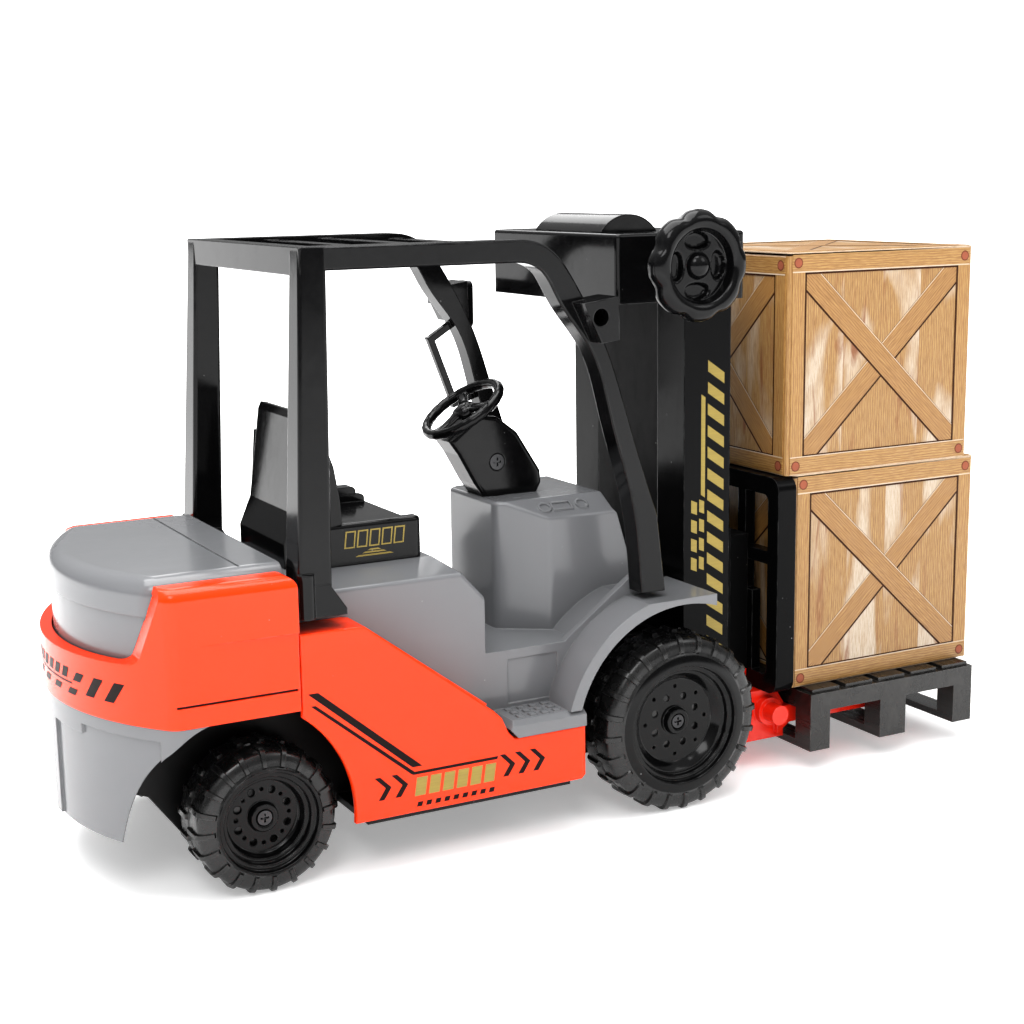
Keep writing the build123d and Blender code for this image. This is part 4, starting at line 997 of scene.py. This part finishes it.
class Print:
    """Printed shapes on one flat face of a crate. Local u runs right and v up, in millimetres."""

    def __init__(self, bm, uv, origin, right, up, out, seed):
        self.bm, self.uv = bm, uv
        self.origin, self.right, self.up, self.out = origin, right, up, out
        self.seed = seed

    def spot(self, u, v, layer):
        return self.origin + (self.right * u + self.up * v + self.out * (layer * LAYER)) * MM

    def shape(self, outline, layer, material, along=(0.0, 1.0)):
        """A thin closed slab of print whose grain runs along a direction."""
        self.seed += 1
        shift_u, shift_v = 3.7 * self.seed, 5.3 * (self.seed % 7)
        over = [self.bm.verts.new(self.spot(u, v, layer)) for u, v in outline]
        under = [self.bm.verts.new(self.spot(u, v, -0.5)) for u, v in outline]
        print_at = {}
        for (u, v), top, low in zip(outline, over, under):
            grain = (u * along[0] + v * along[1]) / 10 + shift_u
            cross = (v * along[0] - u * along[1]) / 10 + shift_v
            print_at[top] = print_at[low] = (grain, cross)
        faces = [self.bm.faces.new(over), self.bm.faces.new(list(reversed(under)))]
        for i, (top, low) in enumerate(zip(over, under)):
            k = (i + 1) % len(outline)
            faces.append(self.bm.faces.new((low, under[k], over[k], top)))
        for face in faces:
            face.material_index = material
            for loop in face.loops:
                loop[self.uv].uv = print_at[loop.vert]

    def disc(self, u, v, radius, layer, material):
        """A printed dot."""
        turns = [math.pi * i / 12 for i in range(24)]
        points = [(u + radius * math.cos(turn), v + radius * math.sin(turn)) for turn in turns]
        self.shape(points, layer, material)

    def brace(self, a, b, layer, width, height):
        """A diagonal board between two corners of the inner panel, with a dark and a pale edge.

        width and height are the panel's limits in u and v.
        """
        (u0, v0), (u1, v1) = a, b
        length = math.hypot(u1 - u0, v1 - v0)
        du, dv = (u1 - u0) / length, (v1 - v0) / length

        def strip(near, far):
            """The band between two parallels of the diagonal, clipped to the inner panel."""
            outline = []
            for side, end in ((near, -length), (near, 2 * length), (far, 2 * length), (far, -length)):
                outline.append((u0 + du * end - dv * side, v0 + dv * end + du * side))
            return clipped(outline, *width, *height)

        self.shape(strip(-BRACE_HALF - 0.75, BRACE_HALF + 0.45), layer, ON_DARK, (du, dv))
        self.shape(strip(BRACE_HALF - 0.1, BRACE_HALF + 0.3), layer + 0.5, ON_LIGHT, (du, dv))
        self.shape(strip(-BRACE_HALF, BRACE_HALF), layer + 1, ON_BRACE, (du, dv))


def clipped(outline, low_u, high_u, low_v, high_v):
    """A convex outline cut off at the sides of a rectangle."""
    cuts = ((0, low_u, True), (0, high_u, False), (1, low_v, True), (1, high_v, False))
    for axis, limit, keep_above in cuts:
        result = []
        for i, point in enumerate(outline):
            before = outline[i - 1]
            inside = point[axis] >= limit if keep_above else point[axis] <= limit
            before_inside = before[axis] >= limit if keep_above else before[axis] <= limit
            if inside != before_inside:
                t = (limit - before[axis]) / (point[axis] - before[axis])
                result.append(tuple(before[k] + t * (point[k] - before[k]) for k in (0, 1)))
            if inside:
                result.append(point)
        outline = result
    return outline


def block_outline(low_u, low_v, high_u, high_v):
    """Outline of an upright rectangle."""
    return [(low_u, low_v), (high_u, low_v), (high_u, high_v), (low_u, high_v)]


def crate_side(face, width, height, rivets=True):
    """Boards, braces and rivets printed on one face, each layer over the one before."""
    edge, far_edge = CORNER_R, width - CORNER_R
    left, right = POST, width - POST
    bottom, top = BOTTOM_BOARD, height - TOP_BOARD
    for i in range(PLANKS):
        u0 = left + (right - left) * i / PLANKS
        u1 = left + (right - left) * (i + 1) / PLANKS
        face.shape(block_outline(u0, bottom, u1, top), 1, ON_PANEL)
    face.brace((left, bottom), (right, top), 2, (left, right), (bottom, top))
    face.brace((left, top), (right, bottom), 4, (left, right), (bottom, top))
    # shadows round the panel
    rim = 0.8
    for u in (left, right):
        face.shape(block_outline(u - rim, bottom, u + rim, top), 6, ON_DARK)
    face.shape(block_outline(left, top - 0.9, right, top + 0.2), 6, ON_DARK)
    face.shape(block_outline(left, bottom - 0.2, right, bottom + 0.6), 6, ON_DARK)
    # posts, then the boards across their ends with a pale line along each
    face.shape(block_outline(edge, bottom, left, top), 7, ON_BOARD)
    face.shape(block_outline(right, bottom, far_edge, top), 7, ON_BOARD)
    face.shape(block_outline(edge, top, far_edge, height - 0.4), 8, ON_BOARD, ALONG_U)
    face.shape(block_outline(edge, 0.4, far_edge, bottom), 8, ON_BOARD, ALONG_U)
    face.shape(block_outline(edge, top - 0.15, far_edge, top + 0.3), 9, ON_LIGHT)
    face.shape(block_outline(edge, bottom - 0.2, far_edge, bottom + 0.15), 9, ON_LIGHT)
    if rivets:
        for u in (edge + RIVET_IN, far_edge - RIVET_IN):
            for v in (height - TOP_BOARD / 2, BOTTOM_BOARD / 2):
                face.disc(u, v, 2.0, 10, ON_RING)
                face.disc(u, v, 1.55, 11, ON_RIVET)


def crate(node, body, seed):
    """A folding card box printed to look like a braced wooden crate."""
    low, high = extent(node)
    bm = bmesh.new()
    uv = bm.loops.layers.uv.new("print")
    plan = []
    folds = ((high.x, high.y, 0), (low.x, high.y, 90), (low.x, low.y, 180), (high.x, low.y, 270))
    for cx, cy, start in folds:
        ox = cx - CORNER_R * (1 if cx == high.x else -1)
        oy = cy - CORNER_R * (1 if cy == high.y else -1)
        for i in range(5):
            turn = math.radians(start + 22.5 * i)
            plan.append((ox + CORNER_R * math.cos(turn), oy + CORNER_R * math.sin(turn)))

    def gape(x):
        """The tuck-in lid stands a little proud towards the back of the truck."""
        return GAPE * ((high.x - x) / (high.x - low.x)) ** 3

    bottom = [bm.verts.new(at(x, y, low.z)) for x, y in plan]
    top = [bm.verts.new(at(x, y, high.z - LID - gape(x))) for x, y in plan]
    count = len(plan)
    height = high.z - low.z
    for i in range(count):
        k = (i + 1) % count
        face = bm.faces.new((bottom[i], bottom[k], top[k], top[i]))
        corner = i % 5 != 4
        face.material_index = ON_BOARD if corner else ON_CARD
        for loop, (u, v) in zip(face.loops, ((0, 0), (0, 1), (height, 1), (height, 0))):
            loop[uv].uv = (u / 10 + seed, (i % 5 + v) * CORNER_R * 0.39 / 10 + 0.9 * (i // 5))
    bm.faces.new(list(reversed(bottom))).material_index = ON_CARD
    bm.faces.new(top).material_index = ON_CARD
    under = [bm.verts.new(at(x, y, high.z - LID)) for x, y in plan]
    over = [bm.verts.new(at(x, y, high.z)) for x, y in plan]
    for i in range(count):
        k = (i + 1) % count
        bm.faces.new((under[i], under[k], over[k], over[i])).material_index = ON_CARD
    bm.faces.new(list(reversed(under))).material_index = ON_CARD
    bm.faces.new(over).material_index = ON_CARD

    x_dir, y_dir, z_dir = Vector((1, 0, 0)), Vector((0, 1, 0)), Vector((0, 0, 1))
    size_x, size_y = high.x - low.x, high.y - low.y
    wall_top = height - LID
    # origin, right, up, outward, width, height and whether it has rivets
    faces = [
        (at(low.x, low.y, low.z), x_dir, z_dir, -y_dir, size_x, wall_top, True),
        (at(high.x, high.y, low.z), -x_dir, z_dir, y_dir, size_x, wall_top, True),
        (at(high.x, low.y, low.z), y_dir, z_dir, x_dir, size_y, wall_top, True),
        (at(low.x, high.y, low.z), -y_dir, z_dir, -x_dir, size_y, wall_top - GAPE, True),
        (at(low.x, low.y, high.z), x_dir, y_dir, z_dir, size_x, size_y, False),
    ]
    for (origin, right, up, out, wide, tall, rivets), extra in zip(faces, FACE_SEEDS):
        crate_side(Print(bm, uv, origin, right, up, out, seed + extra), wide, tall, rivets)
    bmesh.ops.recalc_face_normals(bm, faces=bm.faces)
    mesh = bpy.data.meshes.new(f"{node}_print")
    bm.to_mesh(mesh)
    bm.free()
    add_piece(f"{node}_card", body, mesh, CRATE_MATERIALS, (node,))


# ------------------------------------------------------------------ build
add_camera()
add_studio()
dress_nodes()
for axle in ("front", "rear"):
    for hand in ("left", "right"):
        for side in ("outer", "inner"):
            wheel_half(axle, hand, side)
handwheel()
steering_wheel()
side_decals()
tail_decal()
mast_decals()
seat_decals()
crate("crate_lower", "lower_crate", 3)
crate("crate_upper", "upper_crate", 11)
